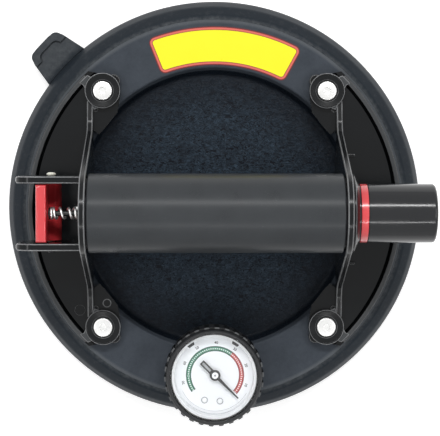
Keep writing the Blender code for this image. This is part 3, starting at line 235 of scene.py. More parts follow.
# %% Outlines
def softened(points, closed=True, step=15):
    """The outline with rounded corners: a point's third number is its corner's radius."""
    count = len(points)
    made = []
    for i, point in enumerate(points):
        inner = closed or 0 < i < count - 1
        if len(point) < 3 or point[2] <= 0 or not inner:
            made.append((point[0], point[1]))
            continue
        x, y, radius = point
        before, after = points[i - 1], points[(i + 1) % count]
        a = Vector((before[0] - x, before[1] - y))
        b = Vector((after[0] - x, after[1] - y))
        half = acos(max(-1.0, min(1.0, a.normalized().dot(b.normalized())))) / 2
        reach_back = min(radius / tan(half), 0.49 * a.length, 0.49 * b.length)
        radius = reach_back * tan(half)
        middle = Vector((x, y)) + (a.normalized() + b.normalized()).normalized() * reach_back / cos(half)
        first = Vector((x, y)) + a.normalized() * reach_back - middle
        last = Vector((x, y)) + b.normalized() * reach_back - middle
        start = atan2(first.y, first.x)
        sweep = (atan2(last.y, last.x) - start + pi) % (2 * pi) - pi
        steps = max(1, ceil(abs(sweep) / radians(step)))
        for k in range(steps + 1):
            angle = start + sweep * k / steps
            made.append((middle.x + radius * cos(angle), middle.y + radius * sin(angle)))
    return made


def arc(x, y, radius, start, end, steps):
    """Points along an arc, with angles in degrees and both ends included."""
    turns = [radians(start + (end - start) * i / steps) for i in range(steps + 1)]
    return [(x + radius * cos(a), y + radius * sin(a)) for a in turns]


# %% Lathe, slab and plain changes
TO_METRES = Matrix.Scale(mm, 4)
ALONG = {
    "Z": Matrix.Identity(4),
    "X": Matrix.Rotation(pi / 2, 4, "Y"),
    "Y": Matrix.Rotation(-pi / 2, 4, "X"),
}
PLANES = {
    "XY": Matrix.Identity(4),
    "YZ": Matrix.Rotation(pi / 2, 4, "Z") @ Matrix.Rotation(pi / 2, 4, "X"),
    "XZ": Matrix.Rotation(pi / 2, 4, "X"),
}


def as_piece(name, shape, place):
    """A bmesh in millimetres becomes an object at the origin with its place in its mesh."""
    bmesh.ops.recalc_face_normals(shape, faces=shape.faces)
    mesh = bpy.data.meshes.new(name)
    shape.to_mesh(mesh)
    shape.free()
    mesh.transform(TO_METRES @ place)
    piece = bpy.data.objects.new(name, mesh)
    scene.collection.objects.link(piece)
    return piece


def lathe(name, profile, at=(0, 0, 0), along="Z", steps=96):
    """Turns (radius, height) points, which run down the outer side, about an axis."""
    solid = profile[0][0] == 0 and profile[-1][0] == 0
    points = softened(profile, closed=not solid)
    shape = bmesh.new()
    rings = []
    for radius, height in points:
        count = steps if radius > 1e-7 else 1
        turns = [2 * pi * i / steps for i in range(count)]
        rings.append([shape.verts.new((radius * cos(a), radius * sin(a), height)) for a in turns])
    pairs = list(zip(rings, rings[1:]))
    if not solid:
        pairs.append((rings[-1], rings[0]))
    for upper, lower in pairs:
        for i in range(steps):
            j = (i + 1) % steps
            a, b = upper[i % len(upper)], upper[j % len(upper)]
            c, d = lower[j % len(lower)], lower[i % len(lower)]
            corners = list(dict.fromkeys((a, b, c, d)))
            if len(corners) > 2:
                shape.faces.new(corners)
    return as_piece(name, shape, Matrix.Translation(at) @ ALONG[along])


def rod(name, radius, low, high, at=(0, 0, 0), along="Z", steps=48):
    return lathe(name, [(0, high), (radius, high), (radius, low), (0, low)], at, along, steps)


def slab(name, outlines, low, high, plane="XY", at=(0, 0, 0)):
    """Flat outlines given thickness, from low to high along the plane's normal."""
    curve = bpy.data.curves.new(name, "CURVE")
    curve.dimensions = "2D"
    curve.fill_mode = "BOTH"
    curve.extrude = (high - low) / 2
    for outline in outlines:
        spline = curve.splines.new("POLY")
        spline.points.add(len(outline) - 1)
        for point, (u, v) in zip(spline.points, outline):
            point.co = (u, v, 0, 1)
        spline.use_cyclic_u = True
    guide = bpy.data.objects.new(name + "_guide", curve)
    scene.collection.objects.link(guide)
    graph = bpy.context.evaluated_depsgraph_get()
    flat = bpy.data.meshes.new_from_object(guide.evaluated_get(graph))
    shape = bmesh.new()
    shape.from_mesh(flat)
    bmesh.ops.remove_doubles(shape, verts=shape.verts, dist=0.002)
    bpy.data.objects.remove(guide)
    bpy.data.meshes.remove(flat)
    middle = Matrix.Translation((0, 0, (low + high) / 2))
    return as_piece(name, shape, Matrix.Translation(at) @ PLANES[plane] @ middle)


def block(name, low, high):
    shape = bmesh.new()
    bmesh.ops.create_cube(shape, size=1)
    size = [b - a for a, b in zip(low, high)]
    bmesh.ops.scale(shape, verts=shape.verts, vec=size)
    return as_piece(name, shape, Matrix.Translation([(a + b) / 2 for a, b in zip(low, high)]))


def applied(piece):
    """Works the piece's modifiers into a plain mesh."""
    graph = bpy.context.evaluated_depsgraph_get()
    mesh = bpy.data.meshes.new_from_object(piece.evaluated_get(graph))
    old = piece.data
    piece.modifiers.clear()
    piece.data = mesh
    mesh.name = piece.name
    bpy.data.meshes.remove(old)
    return piece


def rounded(piece, width, segments=3, angle=35, clamp=True):
    """Rounds the sharp edges, as a mould does."""
    bevel = piece.modifiers.new("edges", "BEVEL")
    bevel.width = width * mm
    bevel.segments = segments
    bevel.limit_method = "ANGLE"
    bevel.angle_limit = radians(angle)
    bevel.use_clamp_overlap = clamp
    return applied(piece)


def changed(piece, operation, tools):
    for tool in tools:
        change = piece.modifiers.new(tool.name, "BOOLEAN")
        change.operation = operation
        change.solver = "EXACT"
        change.object = tool
    applied(piece)
    for tool in tools:
        bpy.data.objects.remove(tool)
    return piece


def fuse(piece, *tools):
    return changed(piece, "UNION", tools)


def carve(piece, *tools):
    return changed(piece, "DIFFERENCE", tools)


# %% [markdown]
# ## Fitting a finished piece to the model
# A piece takes the place of a node of the imported model, rides on the same body, and names the
# finish that it has. Flat faces next to rounded edges are given weighted normals, so that a broad
# face stays flat to the light and only its rounded edge shines. On the frames those narrow faces,
# and the top of the tray's lip, are also noted in attributes, so that the finish can paint them
# paler as painted highlights.

# %% Fitting
def mark_edges(mesh):
    """Notes the faces on narrow rounded edges and on the lip's top, which a finish paints paler as painted
    highlights.
    """
    shape = bmesh.new()
    shape.from_mesh(mesh)
    marks, tops = [], []
    for face in shape.faces:
        longest = max(edge.calc_length() for edge in face.edges)
        long_edges = [edge for edge in face.edges if edge.calc_length() > 0.4 * longest]
        folds = sum(edge.calc_face_angle_signed(0.0) > radians(8) for edge in long_edges)
        square = max(abs(part) for part in face.normal) > 0.9995
        narrow = face.calc_area() / longest < 0.5 * mm
        height = face.calc_center_median().z
        # Narrow faces low on the tray get a weaker painted highlight.
        low_edge = 24.0 * mm < height < 25.15 * mm
        marks.append((0.4 if low_edge else 1.0) if narrow and folds >= (2 if square else 1) else 0.0)
        tops.append(1.0 if face.normal.z > 0.99 and 24.9 * mm < height < 25.7 * mm else 0.0)
    shape.free()
    for label, values in (("on_edge", marks), ("on_lip", tops)):
        mesh.attributes.new(label, "FLOAT", "FACE").data.foreach_set("value", values)


def fitted(piece, finish, nodes=(), smooth=32, body="base_body", weighted=False, edges=False):
    mesh = piece.data
    if edges:
        mark_edges(mesh)
    if finish is not None:
        mesh.materials.clear()
        mesh.materials.append(finish)
    mesh.shade_smooth()
    mesh.set_sharp_from_angle(angle=radians(smooth))
    if weighted:
        normals = piece.modifiers.new("broad_faces", "WEIGHTED_NORMAL")
        normals.keep_sharp = True
        applied(piece)
    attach(piece, body)
    for node in nodes:
        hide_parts(node)
    print(piece.name, len(piece.data.polygons), "faces on", body)
    return piece


# %% [markdown]
# ## Finishes of the black parts
# Everything black here is a different black. The rubber is dull and bluish with a fine dusty bloom.
# The plate is satin, with a leather grain moulded into its dish. The frames and the plunger are
# glossy. Each finish is a colour with slow clouds in it, a roughness that wanders, and a fine bump.

# %% Patterns shared by the finishes
def new_finish(name, roughness, metallic=0.0, specular=0.5, coat=0.0, coat_roughness=0.1):
    finish = bpy.data.materials.new(name)
    finish.use_nodes = True
    shader = finish.node_tree.nodes["Principled BSDF"]
    shader.inputs["Roughness"].default_value = roughness
    shader.inputs["Metallic"].default_value = metallic
    shader.inputs["Specular IOR Level"].default_value = specular
    shader.inputs["Coat Weight"].default_value = coat
    shader.inputs["Coat Roughness"].default_value = coat_roughness
    return finish, Recipe(finish.node_tree), shader


def place_of(recipe):
    return recipe.node("ShaderNodeTexCoord", output="Object")


def axis_distance(recipe):
    """How far a point lies from the upright axis, in metres."""
    flat = recipe.vector("MULTIPLY", place_of(recipe), (1, 1, 0))
    return recipe.vector("LENGTH", flat, output="Value")


def clouds(recipe, size, detail=3.0, strength=0.5, stretch=None):
    """Noise whose blots are about the given size. It lies between 0 and 1."""
    where = place_of(recipe)
    if stretch is not None:
        where = recipe.vector("MULTIPLY", where, stretch)
    values = {"Vector": where, "Scale": 1 / (size * mm), "Detail": detail, "Roughness": strength}
    return recipe.node("ShaderNodeTexNoise", values)


def cells(recipe, size):
    values = {"Vector": place_of(recipe), "Scale": 1 / (size * mm)}
    return recipe.node("ShaderNodeTexVoronoi", values)


def bump(recipe, shader, height, distance, strength=1.0):
    values = {"Height": height, "Distance": distance * mm, "Strength": strength}
    recipe.feed(shader.inputs["Normal"], recipe.node("ShaderNodeBump", values))


def dress(recipe, shader, shade, roughness, height, depth):
    """Feeds what every opaque finish has: a colour, a roughness and a shallow bump."""
    recipe.feed(shader.inputs["Base Color"], shade)
    recipe.feed(shader.inputs["Roughness"], roughness)
    bump(recipe, shader, height, depth)


def tone(colour, share=1.0):
    return tuple(c * share for c in colour) + (1.0,)


# %% Moulded black plastics and rubber
def moulded(
    name, colour, roughness, specular=0.4, bloom=0.25, depth=0.006, edge_sheen=0.0, dust_and_tab_sheen=False, tips=0.0
):
    """Slow clouds, a fine grain, a little pale bloom, optional dust, and optional painted light and shade.
    """
    finish, recipe, shader = new_finish(name, roughness, specular=specular)
    slow = clouds(recipe, 14, 3.0)
    fine = clouds(recipe, 0.25, 2.0, 0.6)
    speck = (cells(recipe, 2.3) < 0.09) * (fine > 0.5)
    cloud = (slow * 0.7 + fine * 0.6 - 0.15).clamped()
    shade = recipe.mix(cloud, tone(colour, 1 - bloom), tone(colour, 1 + bloom))
    dust = tuple(min(1.0, c * 2.2 + 0.02) for c in colour) + (1.0,)
    shade = recipe.mix(speck * 0.35, shade, dust)
    # Dust pales the crease by the plate and lies in random blots. Past the rim, the tab is painted paler as
    # well: a painted highlight on its flat top.
    if dust_and_tab_sheen:
        reach = axis_distance(recipe)
        blots = clouds(recipe, 2.5, 4.0, 0.7)
        crease_dust_and_edge_sheen = (1.0 - (reach - 92.8 * mm) * 500).clamped() * blots
        tab_highlight = ((reach - 103.2 * mm) * 400).clamped() * 0.45
        dust_and_tab_highlight = (crease_dust_and_edge_sheen + tab_highlight + (blots - 0.52) * 0.9).clamped()
        shade = recipe.mix(dust_and_tab_highlight, shade, (0.085, 0.092, 0.098, 1))
    # Painted light: faces above the given height are painted pale grey as if lit, and those below it near
    # black as if in shade.
    if tips:
        height = recipe.node("ShaderNodeSeparateXYZ", {0: place_of(recipe)}, "Z")
        shade = recipe.mix(height > tips * mm, tone(colour, 0.2), (0.13, 0.135, 0.14, 1))
    # Painted highlights: the lip's top and the narrow rounded edges are painted paler, standing in for
    # light caught along them.
    if edge_sheen:
        edge = recipe.node("ShaderNodeAttribute", output="Fac", attribute_name="on_edge")
        on_lip = recipe.node("ShaderNodeAttribute", output="Fac", attribute_name="on_lip")
        shade = recipe.mix(on_lip * 0.75, shade, (0.075, 0.08, 0.084, 1))
        edge_highlight = (edge * (clouds(recipe, 5, 3.0) * 0.9 + 0.45)).clamped()
        shade = recipe.mix(edge_highlight, shade, (edge_sheen, edge_sheen * 1.02, edge_sheen * 1.05, 1))
    uneven = (slow - 0.5) * 0.14 + (fine - 0.5) * 0.08 + roughness
    dress(recipe, shader, shade, uneven, fine, depth)
    return finish


rubber = moulded("rubber_blue_black", (0.0125, 0.0175, 0.0235), 0.5, specular=0.13, depth=0.012, dust_and_tab_sheen=True)
# The frames' narrow edges and lip top are painted paler: painted highlights.
frame_black = moulded(
    "frame_black", (0.006, 0.007, 0.008), 0.18, specular=0.2, bloom=0.15, depth=0.002, edge_sheen=0.2
)
gloss_black = moulded("gloss_black", (0.010, 0.011, 0.013), 0.15, bloom=0.1, depth=0.0006)
soft_grey = moulded("grip_soft_grey", (0.047, 0.051, 0.055), 0.3, specular=0.13, depth=0.006)
case_black = moulded("case_black", (0.008, 0.008, 0.009), 0.4, specular=0.2)
seal_rubber = moulded("seal_rubber", (0.012, 0.012, 0.012), 0.5)
boot_rubber = moulded("boot_rubber", (0.026, 0.027, 0.029), 0.4, specular=0.25, depth=0.010)

# %% [markdown]
# ## The plate's two faces
# One moulding carries two textures: a deep leather grain inside the dish and a dusty satin on the
# ring. The distance from the axis tells the shader which one applies, so a single finish can cover
# the whole plate. The ring's outer edge against the rubber is painted paler, a painted highlight,
# and inside the dish the grain's pale specks fade out towards the wall, a painted shade.

# %% Plate finish
plate_black, plate_recipe, plate_shader = new_finish("plate_black", 0.5, specular=0.11)
from_axis = axis_distance(plate_recipe)
in_dish = from_axis < 68.2 * mm
drawn_out = plate_recipe.vector("MULTIPLY", place_of(plate_recipe), (0.8, 1.3, 1))
values = {"Vector": drawn_out, "Scale": 640, "Detail": 2.0, "Roughness": 0.5, "Distortion": 1.2}
leather = plate_recipe.node("ShaderNodeTexNoise", values)
ridge = (1.1 - plate_recipe.math("ABSOLUTE", leather - 0.5) * 10.0).clamped()
grain = (ridge * 0.7 + ((leather - 0.5) * 4.0 + 0.2).clamped() * 0.3).clamped()
blots = clouds(plate_recipe, 2.2, 4.0, 0.7)
satin = clouds(plate_recipe, 0.3, 2.0, 0.6)
haze = clouds(plate_recipe, 11, 4.0)
cloud = (haze * 0.7 + blots * 0.5 + satin * 0.4 - 0.3).clamped()
plate_shade = plate_recipe.mix(cloud, (0.026, 0.033, 0.042, 1), (0.066, 0.076, 0.092, 1))
# Painted highlight: the ring's outer edge against the rubber is painted paler, mottled by the satin.
crease_dust_and_edge_sheen = ((from_axis - 90.6 * mm) * 800).clamped() * (satin * 0.8 + 0.2)
plate_shade = plate_recipe.mix(crease_dust_and_edge_sheen, plate_shade, (0.11, 0.12, 0.13, 1))
# Painted shade: the grain's pale specks fade out towards the dish's wall, where the wall shades the dish.
clear_of_wall_shade = ((66 * mm - from_axis) * 45).clamped()
sparse = ((blots - 0.25) * 2.2).clamped() * grain * (clear_of_wall_shade * 0.85 + 0.15)
dish_shade = plate_recipe.mix(sparse, (0.004, 0.006, 0.010, 1), (0.050, 0.082, 0.118, 1))
plate_shade = plate_recipe.mix(in_dish, plate_shade, dish_shade)
plate_roughness = in_dish * -0.16 + (haze - 0.5) * 0.16 + 0.52
plate_height = in_dish * ridge * 9.0 + (1.0 - in_dish) * (satin + blots * 2.0)
dress(plate_recipe, plate_shader, plate_shade, plate_roughness, plate_height, 0.008)

# %% [markdown]
# ## The rubber cup
# The cup is one moulding: a thin web over a shallow vacuum cavity, a sealing lip with a fine groove,
# and a rim that climbs round the plate. It is a plain lathe shape. The release tab is a slab with a
# raised C-shaped ridge for a finger to pull, and both are fused into the rim so the rubber is one.

# %% Cup and tab
PLATE_R = 92.5
GAP = 0.3
RIM_IN = PLATE_R + GAP
RIM_OUT = RIM_IN + 9.9
TAB_TURN = radians(136.3)
DUCT = (-64.1, 0, 0)
GAUGE = (0, -79.7, 0)


def tab_outline(inset=0.0, past_root=0.0):
    root = RIM_OUT - 4.95
    length = 15.8 + 4.95
    taper = 3.9 / length
    start_half = 13.3 - taper * past_root - inset
    tip = root + length - inset
    tip_half = 9.4 - inset
    corner = 6.58 - inset
    start = root + past_root
    root_corners = [(start, -start_half), (start, start_half)]
    tip_corners = [(tip, tip_half, corner), (tip, -tip_half, corner)]
    points = softened(root_corners + tip_corners, step=9)
    c, s = cos(TAB_TURN), sin(TAB_TURN)
    return [(x * c - y * s, x * s + y * c) for x, y in points]


cup = lathe(
    "cup",
    [
        (0, 8.7), (RIM_IN, 8.7), (RIM_IN, 19.75, 0.15), (RIM_IN + 2.4, 19.0, 2.0),
        (RIM_IN + 6.6, 15.2, 5), (RIM_IN + 9.0, 9.6, 6), (RIM_OUT, 4.8, 3),
        (RIM_OUT - 0.6, 0.0, 0.3), (RIM_OUT - 5.0, 0.0, 0.2), (RIM_OUT - 5.8, 0.8, 0.3),
        (RIM_OUT - 6.6, 0.0, 0.2), (RIM_OUT - 10.5, 0.0, 0.4), (RIM_OUT - 17.0, 6.0, 4), (0, 6.0),
    ],
    steps=224,
)
tab = rounded(slab("tab", [tab_outline()], 3.8, 7.4), 0.7)
fuse(cup, tab)
ridge_groove = slab("ridge_groove", [tab_outline(0.35, 13.9)], 6.9, 20)
carve(ridge_groove, slab("groove_middle", [tab_outline(4.0, 4.0)], 0, 30))
root_groove = lathe("root_groove", [(102.1, 20), (102.7, 20), (102.7, 6.8), (102.1, 6.8)], steps=224)
carve(cup, ridge_groove, root_groove)
ridge = slab("ridge", [tab_outline(0.35, 14.45)], 5.4, 8.8)
carve(ridge, slab("ridge_hollow", [tab_outline(3.4, 4.0)], 0, 20))
fuse(cup, rounded(ridge, 0.6))
for at in (DUCT, GAUGE):
    carve(cup, rod("port", 3, 0, 13, at, steps=32))
fitted(cup, rubber, ["rubber_cup"], 40, weighted=True)

# %% [markdown]
# ## The plate
# The plate is a dished disc with a raised ring. Its corners are rounded as a mould would leave
# them, and with the painted highlight on the ring's outer edge this makes the thin bright line
# there. Under the ring runs a channel, with bosses for the screws and bores for the gauge and the
# air duct.

# %% Plate
SCREW_X = 54.7
SCREW_Y = 57.8
plate = lathe(
    "plate",
    [
        (0, 12), (66.2, 12, 2), (69.5, 20, 1.2), (PLATE_R + 0.28, 20, 0.3), (PLATE_R + 0.28, 9),
        (89.5, 9), (89.5, 17, 0.8), (72.5, 17, 0.8), (69.2, 9), (0, 9),
    ],
    steps=224,
)
for side in (-1, 1):
    for end in (-1, 1):
        at = (side * SCREW_X, end * SCREW_Y, 0)
        fuse(plate, rod("boss", 6.8, 9.3, 18.5, at))
        carve(plate, rod("bore", 2.8, 0, 30, at), rod("pocket", 4.8, 0, 17, at, steps=6))
fuse(plate, rod("gauge_boss", 7.8, 9.3, 18.5, GAUGE))
carve(plate, rod("gauge_bore", 5.1, 0, 30, GAUGE))
carve(plate, rod("duct_bore", 1.4, 0, 30, DUCT))
fitted(plate, plate_black, ["base_plate"], 28, weighted=True)

# %% [markdown]
# ## The end frames
# Each frame is a wall that carries the grip, on a crescent foot that follows the ring. The foot is a
# shallow tray: a raised lip runs along its outer edge with a gutter beside it, a low rib runs from
# the wall to each screw boss, and a raised surround stands beside the boss. The outlines are drawn
# once for the right side and mirrored for the left.

# %% Frame outlines
GRIP_Z = 71
WALL_IN = 59.4
WALL_OUT = 62.4
FOOT_LOW = 20.3
FOOT_TOP = 22.5
FOOT_R = 91.5
FOOT_TURN = atan2(SCREW_Y, SCREW_X) * 180 / pi + 0.9


def foot_outline(side):
    """The tray seen from above, with a web inside each boss."""
    x, y = SCREW_X, SCREW_Y
    upper = [
        (WALL_IN + 0.7, y - 18.5), (WALL_IN - 2.7, y - 21.3, 0.5), (x - 1.2, y - 17.9, 1.0),
        (x - 7.0, y - 10.5, 1.0), (x - 8.2, y - 4.1, 2.0),
    ]
    upper = softened(upper, closed=False)
    upper += arc(x, y, 8.0, 178, 92, 10)
    rim = arc(0, 0, FOOT_R, FOOT_TURN, -FOOT_TURN, 64)
    lower = [(a, -b) for a, b in reversed(upper)]
    return [(side * a, b) for a, b in upper + rim + lower]


def band_outline(side, outer, inner, turn):
    """A band along the tray's edge."""
    points = arc(0, 0, outer, turn, -turn, 64) + arc(0, 0, inner, -turn, turn, 64)
    return [(side * a, b) for a, b in points]


def wall_outline():
    """The wall seen along the grip: a round head, steep sides and a low rib to each boss."""
    rib_top = FOOT_LOW + 6.6
    rib_end = SCREW_Y - 4.5
    foot_half = 38.5
    head_r = 19.7
    reach = hypot(foot_half, GRIP_Z - rib_top)
    tangent = (atan2(rib_top - GRIP_Z, foot_half) + acos(head_r / reach)) * 180 / pi
    head = arc(0, GRIP_Z, head_r, tangent, 180 - tangent, 36)
    side_points = [
        (0, FOOT_LOW + 0.4), (rib_end, FOOT_LOW + 0.4), (rib_end, rib_top - 2.2),
        (foot_half, rib_top, 9),
        head[0],
    ]
    near = softened(side_points, closed=False)[1:]
    far = [(-y, z) for y, z in reversed(near)]
    return near[:-1] + head + far[1:]


# %% Frames
def add_boss(frame_piece, side, end):
    """A round screw boss with a rounded rim, a small ear beside it, and a small loop at the wall."""
    x, y = side * SCREW_X, end * SCREW_Y
    body = [(0, 26.5), (8.6, 26.5, 0.35), (8.6, 20.8), (0, 20.8)]
    pad = softened([(0, 24.4), (3.2, 24.4, 0.5), (3.2, 20.7), (0, 20.7)], closed=False, step=14)
    pad_at = (x - side * 5.3, y + end * 4.8, 0)
    loop = [(0.9, 23.4, 0.15), (1.5, 23.4, 0.15), (1.5, 22), (0.9, 22)]
    loop_at = (side * 58.4, end * 48.9, 0)
    fuse(
        frame_piece,
        lathe("boss", body, (x, y, 0), steps=64),
        lathe("pad", pad, pad_at, steps=64),
        lathe("loop", loop, loop_at, steps=24),
    )


def cut_boss(frame_piece, side, end):
    at = (side * SCREW_X, end * SCREW_Y, 0)
    recess = [(0, 30), (8.0, 30), (7.8, 26.0), (5.5, 25.6), (5.3, 25.3), (5.3, 23.5), (0, 23.5)]
    carve(frame_piece, lathe("recess", recess, at, steps=64), rod("hole", 2.8, 0, 26, at, steps=32))


def end_frame(name, side):
    made = slab(name, [foot_outline(side)], FOOT_LOW, FOOT_TOP)
    rounded(made, 0.35, 2)
    gutter = [(FOOT_R - 2.2, 23), (FOOT_R - 3.2, 20.8), (FOOT_R - 4.0, 23)]
    carve(made, lathe("gutter", gutter, steps=240))
    for end in (-1, 1):
        corners = [
            (59.0, 48.4), (61.1, 54.0, 2), (64.2, 60.6, 1.2), (66.2, 61.4),
            (62.2, 65.4), (55, 62), (55, 50),
        ]
        outline = [(side * a, end * b) for a, b in softened(corners, step=30)]
        fuse(made, rounded(slab("surround", [outline], 21.4, 25.6), 0.4, 2))
    lip = slab("lip", [band_outline(side, FOOT_R - 0.3, FOOT_R - 2.5, FOOT_TURN - 1.6)], 20.9, 25.1)
    wall = slab("wall", [wall_outline()], WALL_IN, WALL_OUT, "YZ")
    if side < 0:
        wall.data.transform(Matrix.Translation((-(WALL_IN + WALL_OUT) * mm, 0, 0)))
    fuse(made, rounded(lip, 0.5, clamp=False), rounded(wall, 0.65, clamp=False))
    low_x, high_x = sorted((side * (WALL_IN + GAP), side * (WALL_OUT - GAP)))
    for end in (-1, 1):
        skirt = [(5.3, 12.3), (20.2, 12.3), (29.3, 20.3), (29.3, 21.8), (5.3, 21.8)]
        outline = [(end * y, z) for y, z in skirt]
        fuse(made, slab("skirt", [outline], low_x, high_x, "YZ"))
    for end in (-1, 1):
        add_boss(made, side, end)
    for end in (-1, 1):
        cut_boss(made, side, end)
    return made


left_frame = end_frame("frame_left", -1)
right_frame = end_frame("frame_right", 1)
for made in (left_frame, right_frame):
    lowest = sum(1 for face in made.data.polygons if face.center.z < 20.4 * mm)
    print(made.name, len(made.data.polygons), "faces,", lowest, "of them under the tray")

# %% [markdown]
# The left frame also carries the release lever: two ears reach outwards, with rounded noses and
# strongly rounded edges, and a pillar on the wall brings the air up from the cup. The right frame is
# bored for the pump and has two short stiffeners on its tray.

# %% Ears, pillar and bores
PIVOT_X = -77.3
PIVOT_Z = 54


def ear_outline():
    """An ear seen from the front, with its nose to the left."""
    tip, top, foot = -92.5, 77, 46
    near = -60.9
    corners = [(near, top), (tip, top, 8), (tip, foot, 7), (PIVOT_X, foot, 4), (near, 34)]
    return softened(corners, step=10)


for end in (-1, 1):
    at_y = -end * 15.45
    ear = slab("ear", [ear_outline()], at_y - 1.65, at_y + 1.65, "XZ")
    nose = [(-92.5, -1.65, 1.6), (-92.5, 1.65, 1.6), (-59, 1.65), (-59, -1.65)]
    changed(ear, "INTERSECT", [slab("ear_plan", [softened(nose, step=17)], 20, 90, at=(0, -at_y, 0))])
    fuse(left_frame, rounded(ear, 0.55, 2, clamp=False))
pillar = lathe("pillar", [(0, 65.2), (3.2, 65.2, 1), (3.2, 20.6), (0, 20.6)], DUCT)
fuse(left_frame, pillar)
carve(
    left_frame,
    rod("pump_seat", 16.7, -60.6, 0, (0, 0, GRIP_Z), "X"),
    rod("nose_hole", 6.3, -66, 0, (0, 0, GRIP_Z), "X"),
    rod("duct_hole", 1.4, 0, 62, DUCT),
    rod("duct_cross", 1.26, DUCT[0], 0, (0, 0, 62), "X"),
    rod("pin_hole", 1.8, -26, 26, (PIVOT_X, 0, PIVOT_Z), "Y"),
)
for end in (-1, 1):
    stiffener = block("stiffener", (60.9, end * 26.5 - 0.6, 20.9), (68.6, end * 26.5 + 0.6, 24.7))
    fuse(right_frame, rounded(stiffener, 0.3, 2))
carve(right_frame, rod("pump_hole", 16.7, 0, 80, (0, 0, GRIP_Z), "X"))

# %% [markdown]
# Ejector pins leave small round marks on the tray, and a tool insert leaves a faint rectangle. They
# are only a tenth of a millimetre deep or high, but they catch the light, so they are modelled.

# %% Moulding marks
disc_mark = [(0, 22.64), (2.6, 22.64, 0.08), (2.65, 22.2), (0, 22.2)]
ring_mark = [(1.7, 22.62), (2.1, 22.62), (2.1, 22.2), (1.7, 22.2)]
for name, mark, x, y in (("disc_mark", disc_mark, -66.2, -49.6), ("ring_mark", ring_mark, -52.9, -46.2)):
    fuse(left_frame, lathe(name, mark, (x, y, 0), steps=40))
for low, high in (((-75.7, 14.3), (-68.4, 33.8)), ((-75.8, -34.8), (-68.2, -19.1))):
    outline = [(low[0], low[1], 1), (high[0], low[1], 1), (high[0], high[1], 1), (low[0], high[1], 1)]
    outline = softened(outline)
    carve(left_frame, slab("insert_mark", [outline], 22.42, 23.2))
fitted(left_frame, frame_black, ["left_frame"], 32, weighted=True, edges=True)
fitted(right_frame, frame_black, ["right_frame"], 32, weighted=True, edges=True)

# %% [markdown]
# ## Metals
# The screws are turned and polished steel, so fine rings run round each head. The spring wire is
# bright and drawn, and the hidden tube is brushed along its length. A metal's look is mostly its
# roughness, so the scratches feed that and a very shallow bump.

# %% Metal finishes
def metal(name, colour, roughness, brush=(1, 1, 1), depth=0.001):
    finish, recipe, shader = new_finish(name, roughness, metallic=1.0)
    drawn = clouds(recipe, 0.25, 3.0, 0.6, stretch=brush)
    slow = clouds(recipe, 4, 2.0)
    shade = recipe.mix((drawn * 0.6 + slow * 0.4).clamped(), tone(colour, 0.82), tone(colour, 1.05))
    dress(recipe, shader, shade, (drawn - 0.5) * 0.2 + roughness, drawn, depth)
    return finish


screw_steel = metal("screw_steel", (0.80, 0.80, 0.79), 0.3)
spring_steel = metal("spring_steel", (0.93, 0.93, 0.92), 0.42)
black_anodised = metal("black_anodised", (0.014, 0.014, 0.016), 0.4, brush=(0.05, 1, 1))
brass = metal("brass", (0.58, 0.42, 0.16), 0.3)

# %% [markdown]
# ## Four screws from one
# The four button heads are the same part, so one screw is turned once and Geometry Nodes set it down
# at the corners of a grid. The tree ends in Realize Instances, because only real faces are exported,
# and the result becomes a plain mesh before the model sees it.

# %% A tree that grows a piece
class Growth(Recipe):
    """A Geometry Nodes tree with one named input for each size, worked into a plain mesh."""

    def __init__(self, title, sizes):
        super().__init__(bpy.data.node_groups.new(title, "GeometryNodeTree"))
        self.sizes = sizes
        self.keys = {}
        self.tree.interface.new_socket("Geometry", in_out="OUTPUT", socket_type="NodeSocketGeometry")
        kinds = {int: "NodeSocketInt", float: "NodeSocketFloat"}
        for label, value in sizes.items():
            kind = kinds.get(type(value), "NodeSocketObject")
            made = self.tree.interface.new_socket(label, in_out="INPUT", socket_type=kind)
            self.keys[label] = made.identifier
        self.entry = self.tree.nodes.new("NodeGroupInput")

    def size(self, label):
        return Signal(self, self.entry.outputs[label])

    def grown(self, name, geometry, finish):
        whole = self.node("GeometryNodeRealizeInstances", {"Geometry": geometry})
        dressed = self.node("GeometryNodeSetMaterial", {"Geometry": whole, "Material": finish})
        leave = self.tree.nodes.new("NodeGroupOutput")
        self.feed(leave.inputs[0], dressed)
        piece = bpy.data.objects.new(name, bpy.data.meshes.new(name))
        scene.collection.objects.link(piece)
        grow = piece.modifiers.new("growth", "NODES")
        grow.node_group = self.tree
        for label, value in self.sizes.items():
            grow[self.keys[label]] = value
        bpy.context.view_layer.update()
        return applied(piece)


# %% Screws
HEAD_BOTTOM = 23.8
one_screw = lathe(
    "one_screw",
    [
        (0, 26.1), (1.55, 26.15, 0.2), (1.7, 26.45, 0.12), (4.5, 26.3, 0.8), (4.8, 25.6, 0.3),
        (4.8, HEAD_BOTTOM, 0.15), (2.5, HEAD_BOTTOM), (2.5, 11.5, 0.3), (0, 11.5),
    ],
    steps=48,
)
screws = Growth("screw_grid", {"Width": 2 * SCREW_X * mm, "Depth": 2 * SCREW_Y * mm, "Screw": one_screw})
corners = screws.node(
    "GeometryNodeMeshGrid",
    {"Size X": screws.size("Width"), "Size Y": screws.size("Depth"), "Vertices X": 2, "Vertices Y": 2},
)
pattern = screws.node("GeometryNodeObjectInfo", {"Object": screws.size("Screw")}, "Geometry")
set_down = screws.node("GeometryNodeInstanceOnPoints", {"Points": corners, "Instance": pattern})
four_screws = screws.grown("screws", set_down, screw_steel)
bpy.data.objects.remove(one_screw)
screw_nodes = ["screw_left_back", "screw_left_front", "screw_right_back", "screw_right_front"]
fitted(four_screws, None, screw_nodes, 35)

# %% [markdown]
# ## The grip and the pump's visible end
# The sleeve is a soft-touch tube with rounded ends. To its right a conical collar guides the glossy
# plunger, and a red ring on the plunger comes into sight when the vacuum runs low. All of them are
# turned, with many steps, because a bright line along a glossy tube shows every facet.

